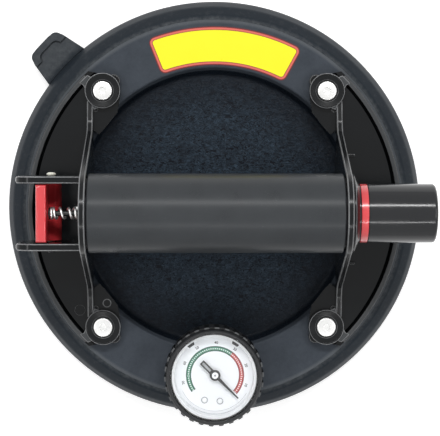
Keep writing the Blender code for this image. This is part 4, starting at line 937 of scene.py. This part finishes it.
# %% Red finish
def painted_red(name, colour, roughness, coat=0.7):
    finish, recipe, shader = new_finish(name, roughness, specular=0.5, coat=coat)
    slow = clouds(recipe, 9, 3.0)
    fine = clouds(recipe, 0.2, 2.0, 0.6)
    shade = recipe.mix((slow * 0.8 + fine * 0.4 - 0.1).clamped(), tone(colour, 0.8), tone(colour, 1.1))
    uneven = (slow - 0.5) * 0.1 + (fine - 0.5) * 0.06 + roughness
    dress(recipe, shader, shade, uneven, fine, 0.003)
    return finish


signal_red = painted_red("signal_red", (0.74, 0.045, 0.055), 0.25)

# %% Grip, collar and plunger
AXIS = (0, 0, GRIP_Z)
sleeve_profile = [(16.7, 58.8), (18.3, 58.8, 1.0), (18.3, -58.8, 1.0), (16.7, -58.8)]
sleeve = lathe("sleeve", sleeve_profile, AXIS, "X", 160)
fitted(sleeve, soft_grey, ["grip_sleeve"])
collar = lathe(
    "collar",
    [
        (13.9, 65.3), (14.7, 65.3, 0.25), (18.0, 63.5, 0.3), (18.0, 62.7), (15.0, 62.7),
        (15.0, 44.7), (13.9, 44.7), (13.9, 63.05), (15.2, 63.05), (15.2, 64.95), (13.9, 64.95),
    ],
    AXIS,
    "X",
    128,
)
fitted(collar, frame_black, ["end_bushing"], edges=True)
plunger = lathe(
    "plunger",
    [
        (0, 101.4), (10.5, 101.4, 4), (13.6, 100.8, 1.5), (13.6, 69.8, 0.1), (12.5, 69.8),
        (12.5, 65.9), (13.6, 65.9, 0.1), (13.6, 44.7), (11.0, 44.7), (11.0, 99.0), (0, 99.0),
    ],
    AXIS,
    "X",
    160,
)
fitted(plunger, gloss_black, ["plunger"], body="plunger_body")
ring_profile = [(12.8, 69.5), (13.6, 69.5, 0.25), (13.6, 66.2, 0.25), (12.8, 66.2)]
red_ring = lathe("red_ring", ring_profile, AXIS, "X", 160)
fitted(red_ring, signal_red, ["indicator_ring"], body="plunger_body")

# %% [markdown]
# ## The release lever
# Pushing the red lever drives a small stem into the pump's end plug and lets air in. Seen from above
# the lever is a narrow bar, but it is a tall pad on a hub. The pin that it turns on has a pale domed
# head at the back and a clip at the front, and a bright coil spring pushes the stem out again.

# %% Lever, pin and clip
lever_at = (PIVOT_X, 0, PIVOT_Z)
hub_outline = [(-0.9, 9.0), (-0.5, 6.6)]
hub_outline += arc(0, 0, 5.0, 72, -112, 20)
hub_outline += [(-3.6, -7.5), (-4.7, -7.5), (-4.9, 0), (-4.9, 9.0)]
lever = rounded(slab("lever", [hub_outline], -13.3, 13.3, "XZ", lever_at), 0.5, 2)
pad_side = [(-5.2, 2.0), (-5.2, 24.0, 0.9), (-3.2, 24.0, 2.0), (-0.4, 23.5, 0.9), (-0.4, 2.0)]
pad_front = [(-13.25, 1.0), (13.25, 1.0), (13.25, 24.05, 1.75), (-13.25, 24.05, 1.75)]
pad = slab("lever_pad", [softened(pad_side, step=10)], -13.6, 13.6, "XZ", lever_at)
changed(pad, "INTERSECT", [slab("lever_front", [softened(pad_front, step=10)], -9, 3, "YZ", lever_at)])
fuse(lever, pad)
carve(lever, rod("lever_bore", 1.8, -20, 20, lever_at, "Y"))
fitted(lever, signal_red, ["release_lever"], weighted=True, body="lever_body")

cream = moulded("cream_head", (0.88, 0.87, 0.76), 0.3, bloom=0.05, depth=0.002)
pin_at = (PIVOT_X, 0, PIVOT_Z)
pin_profile = [
    (0, 18.6), (1.4, 18.5, 0.8), (2.2, 18.0, 0.3), (2.2, 17.4, 0.1), (1.5, 17.4), (1.5, -17.2),
    (0, -17.2),
]
fitted(lathe("pivot_pin", pin_profile, pin_at, "Y", 48), cream, ["lever_pin"])
tail_profile = [(0, -17.2), (1.5, -17.2), (1.5, -19.2, 0.3), (0, -19.2)]
clip_profile = [(1.65, -17.4), (2.9, -17.4, 0.2), (2.9, -18.2, 0.2), (1.65, -18.2)]
fitted(lathe("pin_clip_ring", clip_profile, pin_at, "Y", 48), black_anodised, ["pin_clip"])
fitted(lathe("pin_tail", tail_profile, pin_at, "Y", 48), black_anodised, ())
# Two tiny cream dots on top of the hub are painted glints: pale marks set where small highlights fall on
# the lever.
for y in (-4.1, -12.9):
    glint_dot = [(0, 0.45), (0.3, 0.35, 0.1), (0.45, -0.4), (0, -0.4)]
    glint_dot_at = (PIVOT_X, y, PIVOT_Z + 5.0)
    made = lathe(f"lever_stud_{int(y < -5)}", glint_dot, glint_dot_at, steps=16)
    fitted(made, cream, (), body="lever_body")

# %% [markdown]
# ## The valve stem
# The stem is a dark turned pin: a rounded head that the lever pushes, a thin shaft inside the spring,
# and at its inner end the poppet that closes the valve. One lathe profile makes it. The imported
# stem's box is printed beside it, because the stem slides and has to start where that one does.

# %% Stem
stem_profile = [
    (0, -53.2), (3.4, -53.2, 0.3), (3.4, -54.6, 0.2), (1.3, -54.6), (1.3, -76.4),
    (2.9, -76.4, 0.15), (2.9, -76.95, 0.2), (1.1, -77.35, 0.6), (0, -77.4),
]
stem_low, stem_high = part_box("valve_stem")
print("stem x from", round(stem_low.x * 1000, 2), "to", round(stem_high.x * 1000, 2))
needle_black = moulded("needle_black", (0.008, 0.008, 0.008), 0.35, bloom=0.1, depth=0.001)
stem = lathe("stem", stem_profile, AXIS, "X", 48)
fitted(stem, needle_black, ["valve_stem"], body="stem_body")

# %% [markdown]
# ## Springs
# A coil spring is a circle carried along a helix. Geometry Nodes bend a straight line of points into
# the helix: the turn follows the point's share of the line, and a sine term brings the end turns
# closer together, as the closed ends of a real spring are.

# %% Spring tree
def coil(name, radius, wire, first, last, turns, finish, per_turn=28, sides=10):
    sizes = {
        "Radius": radius,
        "Wire": wire,
        "First": first,
        "Last": last,
        "Turns": float(turns),
        "Points": turns * per_turn + 1,
        "Sides": sides,
    }
    tree = Growth(name + "_tree", sizes)
    line = tree.node("GeometryNodeCurvePrimitiveLine", {"Start": (0, 0, 0), "End": (1, 0, 0)})
    line = tree.node("GeometryNodeResampleCurve", {"Curve": line, "Count": tree.size("Points")})
    share = tree.node("GeometryNodeSplineParameter", output="Factor")
    turn = share * tree.size("Turns") * (2 * pi)
    closer = share - tree.math("SINE", share * (2 * pi)) * (0.72 / (2 * pi))
    x = tree.size("First") + closer * (tree.size("Last") - tree.size("First"))
    y = tree.math("COSINE", turn) * tree.size("Radius")
    z = tree.math("SINE", turn) * tree.size("Radius") + GRIP_Z * mm
    where = tree.node("ShaderNodeCombineXYZ", {"X": x, "Y": y, "Z": z})
    helix = tree.node("GeometryNodeSetPosition", {"Geometry": line, "Position": where})
    round_wire = tree.node(
        "GeometryNodeCurvePrimitiveCircle", {"Radius": tree.size("Wire"), "Resolution": tree.size("Sides")}
    )
    swept = tree.node(
        "GeometryNodeCurveToMesh", {"Curve": helix, "Profile Curve": round_wire, "Fill Caps": True}
    )
    return tree.grown(name, swept, finish)


def squashed(piece, node):
    fitted(piece, None, [node], 60)
    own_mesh(piece)


stem_spring = coil("stem_coil", 2.4 * mm, 0.58 * mm, -75.85 * mm, -63.85 * mm, 5, spring_steel)
squashed(stem_spring, "stem_spring")
pump_low, pump_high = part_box("pump_spring")
print("pump spring x from", round(pump_low.x * 1000, 2), "to", round(pump_high.x * 1000, 2))
first = pump_low.x + 0.95 * mm
last = pump_high.x - 0.95 * mm
pump_spring = coil("pump_coil", 8.5 * mm, 0.9 * mm, first, last, 6, spring_steel, 40)
squashed(pump_spring, "pump_spring")

# %% [markdown]
# ## The gauge
# The gauge is a small dial instrument in a rubber boot. From the outside in: a knurled band, a smooth
# lip, a dark groove, the lens, a white ring, and the dial with its printed bands and its needle.
# The knurl is one tooth set down round a circle by Geometry Nodes. The boot, its case and the lens sit
# half a millimetre to the left of the dial's centre and a little in front of it, so BOOT isn't GAUGE.

# %% Boot with knurl
BOOT = (-0.5, -80.1, 0)
# The knurl's tooth tops are painted lit and the rest of each tooth is painted in shade.
tooth_rubber = moulded("tooth_rubber", (0.026, 0.027, 0.029), 0.45, specular=0.15, tips=41.2)
boot = lathe(
    "boot",
    [
        (21.2, 45.3, 0.2), (22.3, 45.5, 0.6), (22.9, 44.6, 0.6), (22.9, 37.0), (23.5, 37.0, 0.2),
        (23.5, 20.3, 1.5), (7.1, 20.3), (7.1, 22.8), (21.4, 22.8), (21.4, 44.2), (21.2, 44.2),
    ],
    BOOT,
    steps=160,
)
fitted(boot, boot_rubber, ["gauge_boot"])

knurl = Growth(
    "knurl_tree",
    {
        "Teeth": 30, "Radius": 23.65 * mm, "Low": 27.8 * mm, "High": 41.3 * mm,
        "Width": 2.3 * mm, "Depth": 0.8 * mm,
    },
)
tooth_size = knurl.node(
    "ShaderNodeCombineXYZ",
    {"X": knurl.size("Depth"), "Y": knurl.size("Width"), "Z": knurl.size("High") - knurl.size("Low")},
)
tooth = knurl.node(
    "GeometryNodeMeshCube", {"Size": tooth_size, "Vertices X": 4, "Vertices Y": 5, "Vertices Z": 3}
)
tooth_place = knurl.node("GeometryNodeInputPosition")
across = knurl.vector("DOT_PRODUCT", tooth_place, (0, 1, 0), output="Value") / knurl.size("Width") * 2.0
fall = (across * across) * knurl.size("Depth") * 0.12
pulled = knurl.node("ShaderNodeCombineXYZ", {"X": -fall, "Y": 0.0, "Z": 0.0})
tooth = knurl.node("GeometryNodeSetPosition", {"Geometry": tooth, "Offset": pulled})
around = knurl.node(
    "GeometryNodeMeshCircle", {"Vertices": knurl.size("Teeth"), "Radius": knurl.size("Radius")}
)
index = knurl.node("GeometryNodeInputIndex")
step = (2 * pi) / knurl.size("Teeth")
facing = knurl.node("ShaderNodeCombineXYZ", {"X": 0.0, "Y": 0.0, "Z": index * step})
teeth = knurl.node(
    "GeometryNodeInstanceOnPoints", {"Points": around, "Instance": tooth, "Rotation": facing}
)
mid = (knurl.size("High") + knurl.size("Low")) * 0.5
lift = knurl.node("ShaderNodeCombineXYZ", {"X": BOOT[0] * mm, "Y": BOOT[1] * mm, "Z": mid})
teeth = knurl.node(
    "GeometryNodeTransform", {"Geometry": teeth, "Translation": lift, "Rotation": (0, 0, radians(2.6))}
)
knurl_piece = knurl.grown("knurl", teeth, tooth_rubber)
fitted(knurl_piece, None, ["gauge_boot"], 50)

# %% Case, lens seat and dial
case = lathe(
    "case",
    [
        (20.5, 42.1), (21.1, 42.1, 0.1), (21.1, 23.1, 0.8), (4.0, 23.1), (4.0, 24.3), (20.5, 24.3),
    ],
    BOOT,
    steps=128,
)
fitted(case, case_black, ["gauge_case"])


def printed(name, colour, roughness=0.4, drift=0.06):
    """A pale printed or painted face with a hint of unevenness."""
    finish, recipe, shader = new_finish(name, roughness, specular=0.4)
    slow = clouds(recipe, 6, 3.0)
    fine = clouds(recipe, 0.15, 2.0, 0.6)
    shade = recipe.mix((slow * 0.7 + fine * 0.3).clamped(), tone(colour, 1 - drift), tone(colour, 1.0))
    dress(recipe, shader, shade, (slow - 0.5) * 0.1 + roughness, fine, 0.001)
    return finish


dial_white = printed("dial_white", (0.93, 0.94, 0.955), drift=0.03)
ring_white = printed("ring_white", (0.95, 0.955, 0.96), 0.3, 0.02)
DIAL_TOP = 37.3
dial_profile = [(1.0, DIAL_TOP), (20.2, DIAL_TOP, 0.1), (20.2, 36.7), (1.0, 36.7)]
dial = lathe("dial", dial_profile, GAUGE, steps=128)
fitted(dial, dial_white, ["gauge_dial"])
inner_profile = [(19.3, 42.1, 0.2), (20.4, 42.1), (20.4, 37.6), (18.9, 37.6, 0.1)]
inner_ring = lathe("inner_ring", inner_profile, BOOT, steps=128)
fitted(inner_ring, ring_white, ["dial_ring"])

# %% [markdown]
# ## What is printed on the dial
# A green band is the safe side of the scale and a red band is the weak side. Each is a thin sheet a
# few hundredths of a millimetre above the dial, on an outline of its own colour but darker. Ticks
# follow a rule, so Geometry Nodes set them round the arc, and the numbers are text made into a mesh.

# %% Bands
dial_green = printed("dial_green", (0.045, 0.27, 0.15), 0.4, 0.15)
dial_teal = printed("dial_teal", (0.008, 0.085, 0.052), 0.45, 0.2)
dial_red = printed("dial_red", (0.60, 0.085, 0.07), 0.4, 0.15)
dial_maroon = printed("dial_maroon", (0.28, 0.03, 0.032), 0.45, 0.2)
dial_grey = printed("dial_grey", (0.36, 0.37, 0.39), 0.45, 0.1)
ink = printed("dial_ink", (0.010, 0.010, 0.011), 0.45, 0.2)
SCALE_START = -39.9
SCALE_SPLIT = 51.8
SCALE_END = 214.5
PRINT = 0.03


def band(name, start, end, inner, outer, layer, finish):
    """A printed ring segment. Layer 0 lies on the dial and layer 1 lies on layer 0."""
    outline = arc(0, 0, outer, start, end, 72) + arc(0, 0, inner, end, start, 72)
    low = DIAL_TOP + layer * PRINT
    piece = slab(name, [outline], low, low + PRINT, at=GAUGE)
    return fitted(piece, finish, ())


band("safe_outline", SCALE_SPLIT, SCALE_END + 1.5, 11.6, 14.05, 0, dial_teal)
band("weak_outline", SCALE_START - 1.5, SCALE_SPLIT, 11.6, 14.05, 0, dial_maroon)
band("safe_band", SCALE_SPLIT + 0.8, SCALE_END, 12.2, 13.45, 1, dial_green)
band("weak_band", SCALE_START, SCALE_SPLIT - 0.8, 12.2, 13.45, 1, dial_red)
for i, (radius, half_turn) in enumerate(((17.5, 62), (18.9, 45))):
    band(f"fine_arc_{i}", 268 - half_turn, 268 + half_turn, radius, radius + 0.12, 0, dial_grey)

# %% Ticks
ticks = Growth(
    "tick_tree",
    {
        "Marks": 56, "Start": radians(SCALE_START), "End": radians(SCALE_END),
        "Radius": 12.83 * mm, "Length": 0.6 * mm,
    },
)
row = ticks.node(
    "GeometryNodeMeshLine", {"Count": ticks.size("Marks"), "Start Location": (0, 0, 0), "Offset": (0, 0, 0)}
)
index = ticks.node("GeometryNodeInputIndex")
step = (ticks.size("End") - ticks.size("Start")) / (ticks.size("Marks") - 1.0)
angle = ticks.size("Start") + index * step
where = ticks.node(
    "ShaderNodeCombineXYZ",
    {
        "X": ticks.math("COSINE", angle) * ticks.size("Radius"),
        "Y": ticks.math("SINE", angle) * ticks.size("Radius") + GAUGE[1] * mm,
        "Z": (DIAL_TOP + 2.5 * PRINT) * mm,
    },
)
row = ticks.node("GeometryNodeSetPosition", {"Geometry": row, "Position": where})
major = ticks.math("FLOORED_MODULO", index, 8.0) < 0.5
length = ticks.size("Length") * (1.0 + major * 0.8)
size = ticks.node("ShaderNodeCombineXYZ", {"X": length, "Y": 0.5 * mm - major * (0.2 * mm), "Z": 0.02 * mm})
mark = ticks.node("GeometryNodeMeshCube", {"Size": (1, 1, 1)})
spin = ticks.node("ShaderNodeCombineXYZ", {"X": 0.0, "Y": 0.0, "Z": angle})
marks = ticks.node(
    "GeometryNodeInstanceOnPoints", {"Points": row, "Instance": mark, "Rotation": spin, "Scale": size}
)
fitted(ticks.grown("ticks", marks, dial_white), None, ())


# %% Numbers
def number(text, x, y, height, turn=0.0):
    words = bpy.data.curves.new("number_" + text, "FONT")
    words.body = text
    words.size = height * 1.38
    words.align_x = "CENTER"
    words.align_y = "CENTER"
    words.extrude = 0.01
    words.offset = 0.03
    guide = bpy.data.objects.new("number_" + text, words)
    scene.collection.objects.link(guide)
    graph = bpy.context.evaluated_depsgraph_get()
    mesh = bpy.data.meshes.new_from_object(guide.evaluated_get(graph))
    bpy.data.objects.remove(guide)
    place = Matrix.Translation((x, y + GAUGE[1], DIAL_TOP + PRINT))
    mesh.transform(TO_METRES @ place @ Matrix.Rotation(turn, 4, "Z"))
    piece = bpy.data.objects.new("number_" + text, mesh)
    scene.collection.objects.link(piece)
    return piece


for i in range(7):
    angle = radians(193.8 - 35.3 * i)
    at = (15.7 * cos(angle), 15.7 * sin(angle))
    fitted(number(str(70 - 10 * i), *at, 1.3, angle - pi / 2), ink, ())

# %% [markdown]
# ## Needle, screws and clips
# Two small screws hold the dial and two clips hold the lens. The needle is a flat pointer with a
# window in its tail, and it is fused to a hub and a spindle so that they turn as one. It is drawn
# along X, turned once to where the photograph shows it, and then rides on the needle's body.

# %% Dial screws and needle
for i, x, y in ((0, -5.1, -12.2), (1, 2.35, -12.7)):
    at = (GAUGE[0] + x, GAUGE[1] + y, 0)
    rim = [(1.25, 37.55), (1.6, 37.5, 0.1), (1.6, 37.31), (1.25, 37.31)]
    head = [(0, 37.75), (0.9, 37.7, 0.2), (1.25, 37.4), (1.25, 37.31), (0, 37.31)]
    fitted(lathe(f"dial_screw_rim_{i}", rim, at, steps=32), dial_grey, ())
    fitted(lathe(f"dial_screw_{i}", head, at, steps=32), ring_white, ())
for i, turn in ((0, 125.5), (1, 57.6)):
    outline = arc(0, 0, 19.6, turn - 5.5, turn + 5.5, 8) + arc(0, 0, 18.3, turn + 4.5, turn - 4.5, 6)
    clip = rounded(slab(f"lens_clip_{i}", [outline], 41.9, 42.3, at=BOOT), 0.1, 2)
    fitted(clip, case_black, ())

NEEDLE = radians(-45)
pointer = [
    (2, -0.75), (15.8, -0.3), (15.8, 0.3), (2, 0.75),
    (-2, 1.3), (-9.1, 1.3), (-9.1, -1.3), (-2, -1.3),
]
window = [(-3.0, 0.6), (-8.4, 0.6), (-8.4, -0.6), (-3.0, -0.6)]
spun = Matrix.Translation(Vector(GAUGE) * mm) @ Matrix.Rotation(NEEDLE, 4, "Z")
needle = slab("needle", [pointer, window], 38.7, 39.2)
needle.data.transform(spun)
hub = [(0, 39.5), (2.6, 39.5, 0.2), (2.6, 38.4), (0, 38.4)]
spindle = rod("spindle", 0.7, 33.2, 38.9, GAUGE, steps=24)
fuse(needle, lathe("hub", hub, GAUGE, steps=48), spindle)
fitted(needle, needle_black, ["gauge_needle"], body="needle_body")
cap = [(0, 39.60), (1.55, 39.58, 0.1), (1.6, 39.45), (0, 39.45)]
fitted(lathe("needle_cap", cap, GAUGE, steps=40), ring_white, (), body="needle_body")
dot = [(0, 39.64), (0.5, 39.64), (0.5, 39.5), (0, 39.5)]
fitted(lathe("needle_dot", dot, GAUGE, steps=24), dial_grey, (), body="needle_body")

# %% [markdown]
# ## The lens
# A clear lens in front of a dial is mostly not there: it lets the dial through and adds a soft gloss.
# A transparent shader mixed with a glossy one by Fresnel does that, and costs no noise.

# %% Lens
lens_clear = bpy.data.materials.new("clear_lens")
lens_clear.use_nodes = True
clear = Recipe(lens_clear.node_tree)
lens_clear.node_tree.nodes.remove(lens_clear.node_tree.nodes["Principled BSDF"])
see_through = clear.node("ShaderNodeBsdfTransparent", {"Color": (0.99, 0.995, 1.0, 1)})
smear = clouds(clear, 7, 2.0) * 0.05 + 0.02
shine = clear.node("ShaderNodeBsdfGlossy", {"Color": (1, 1, 1, 1), "Roughness": smear})
edge_shine = clear.node("ShaderNodeFresnel", {"IOR": 1.45})
lens_look = clear.node("ShaderNodeMixShader", {0: edge_shine, 1: see_through, 2: shine})
clear.feed(lens_clear.node_tree.nodes["Material Output"].inputs["Surface"], lens_look)
lens_profile = [(0, 43.9), (21.1, 43.9, 0.25), (21.1, 42.4, 0.2), (0, 42.4)]
fitted(lathe("lens", lens_profile, BOOT, steps=128), lens_clear, ["gauge_lens"])

# %% [markdown]
# ## The blank sticker
# A yellow sticker with a red border lies on the ring. It is left without any words. It is one thin
# curved sheet with three printed layers: a dark edge line, the border, and the yellow field.

# %% Sticker
def rounded_sector(inset):
    """The sticker's outline, drawn finely near its corners."""
    start, end = 61.4, 111.7
    inner, outer = 70.6 + inset, 89.4 - inset
    corner = max(3.2 - inset, 0.6)
    points = []
    for radius, sign in ((outer, -1), (inner, 1)):
        trim = inset / radius * 180 / pi
        a, b = start + trim, end - trim
        middle = radius + sign * corner
        turn = corner / middle * 180 / pi
        ends = []
        for k in range(9):
            t = k / 8 * pi / 2
            reach = middle - sign * corner * sin(t)
            ends.append((reach, a + turn * (1 - cos(t))))
        run = ends + [(radius, a + turn + (b - a - 2 * turn) * i / 24) for i in range(1, 24)]
        run += [(r, b - (angle - a)) for r, angle in reversed(ends)]
        points += run if sign < 0 else list(reversed(run))
    return [(r * cos(radians(t)), r * sin(radians(t))) for r, t in points]


sticker_line = printed("sticker_dark_line", (0.16, 0.012, 0.014), 0.35)
sticker_red = printed("sticker_border", (0.78, 0.16, 0.12), 0.3, 0.2)
sticker_yellow = printed("sticker_yellow", (0.98, 0.93, 0.02), 0.3, 0.05)
layers = (
    ("sticker_edge", 0.0, 20.00, 20.10, sticker_line),
    ("sticker_border", 0.5, 20.10, 20.13, sticker_red),
    ("sticker_inner_line", 1.5, 20.13, 20.15, sticker_line),
    ("sticker_field", 1.75, 20.15, 20.17, sticker_yellow),
)
for name, inset, low, high, finish in layers:
    sheet = slab(name, [rounded_sector(inset)], low + 0.01, high + 0.01)
    fitted(sheet, finish, ())

# %% [markdown]
# ## What stays inside
# The pump, the valve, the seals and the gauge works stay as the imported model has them. They are out
# of sight, but the object is a real assembly, so each gets the finish of what it is made of.

# %% Finishes of the inner parts
felt, felt_recipe, felt_shader = new_finish("filter_felt", 0.95, specular=0.2)
fibres = clouds(felt_recipe, 0.12, 6.0, 0.8, stretch=(1, 1, 0.3))
felt_shade = felt_recipe.mix(fibres, (0.34, 0.31, 0.26, 1), (0.62, 0.59, 0.52, 1))
felt_recipe.feed(felt_shader.inputs["Base Color"], felt_shade)
bump(felt_recipe, felt_shader, fibres, 0.05)
inner_plastic = moulded("inner_plastic", (0.33, 0.33, 0.32), 0.42, bloom=0.08, depth=0.003)
inner_finishes = {
    "air_filter": felt,
    "duct_seal": seal_rubber,
    "pump_cylinder": black_anodised,
    "piston": inner_plastic,
    "piston_seal": seal_rubber,
    "wiper_seal": seal_rubber,
    "valve_body": inner_plastic,
    "body_seal": seal_rubber,
    "inlet_valve": seal_rubber,
    "stem_seal": seal_rubber,
    "gauge_stem": brass,
    "gauge_gasket": seal_rubber,
    "bourdon_tube": brass,
    "gauge_movement": brass,
}
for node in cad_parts:
    if node.startswith("nut_"):
        inner_finishes[node] = screw_steel
for node, finish in inner_finishes.items():
    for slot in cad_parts[node].material_slots:
        slot.material = finish
print("inner parts dressed:", len(inner_finishes))
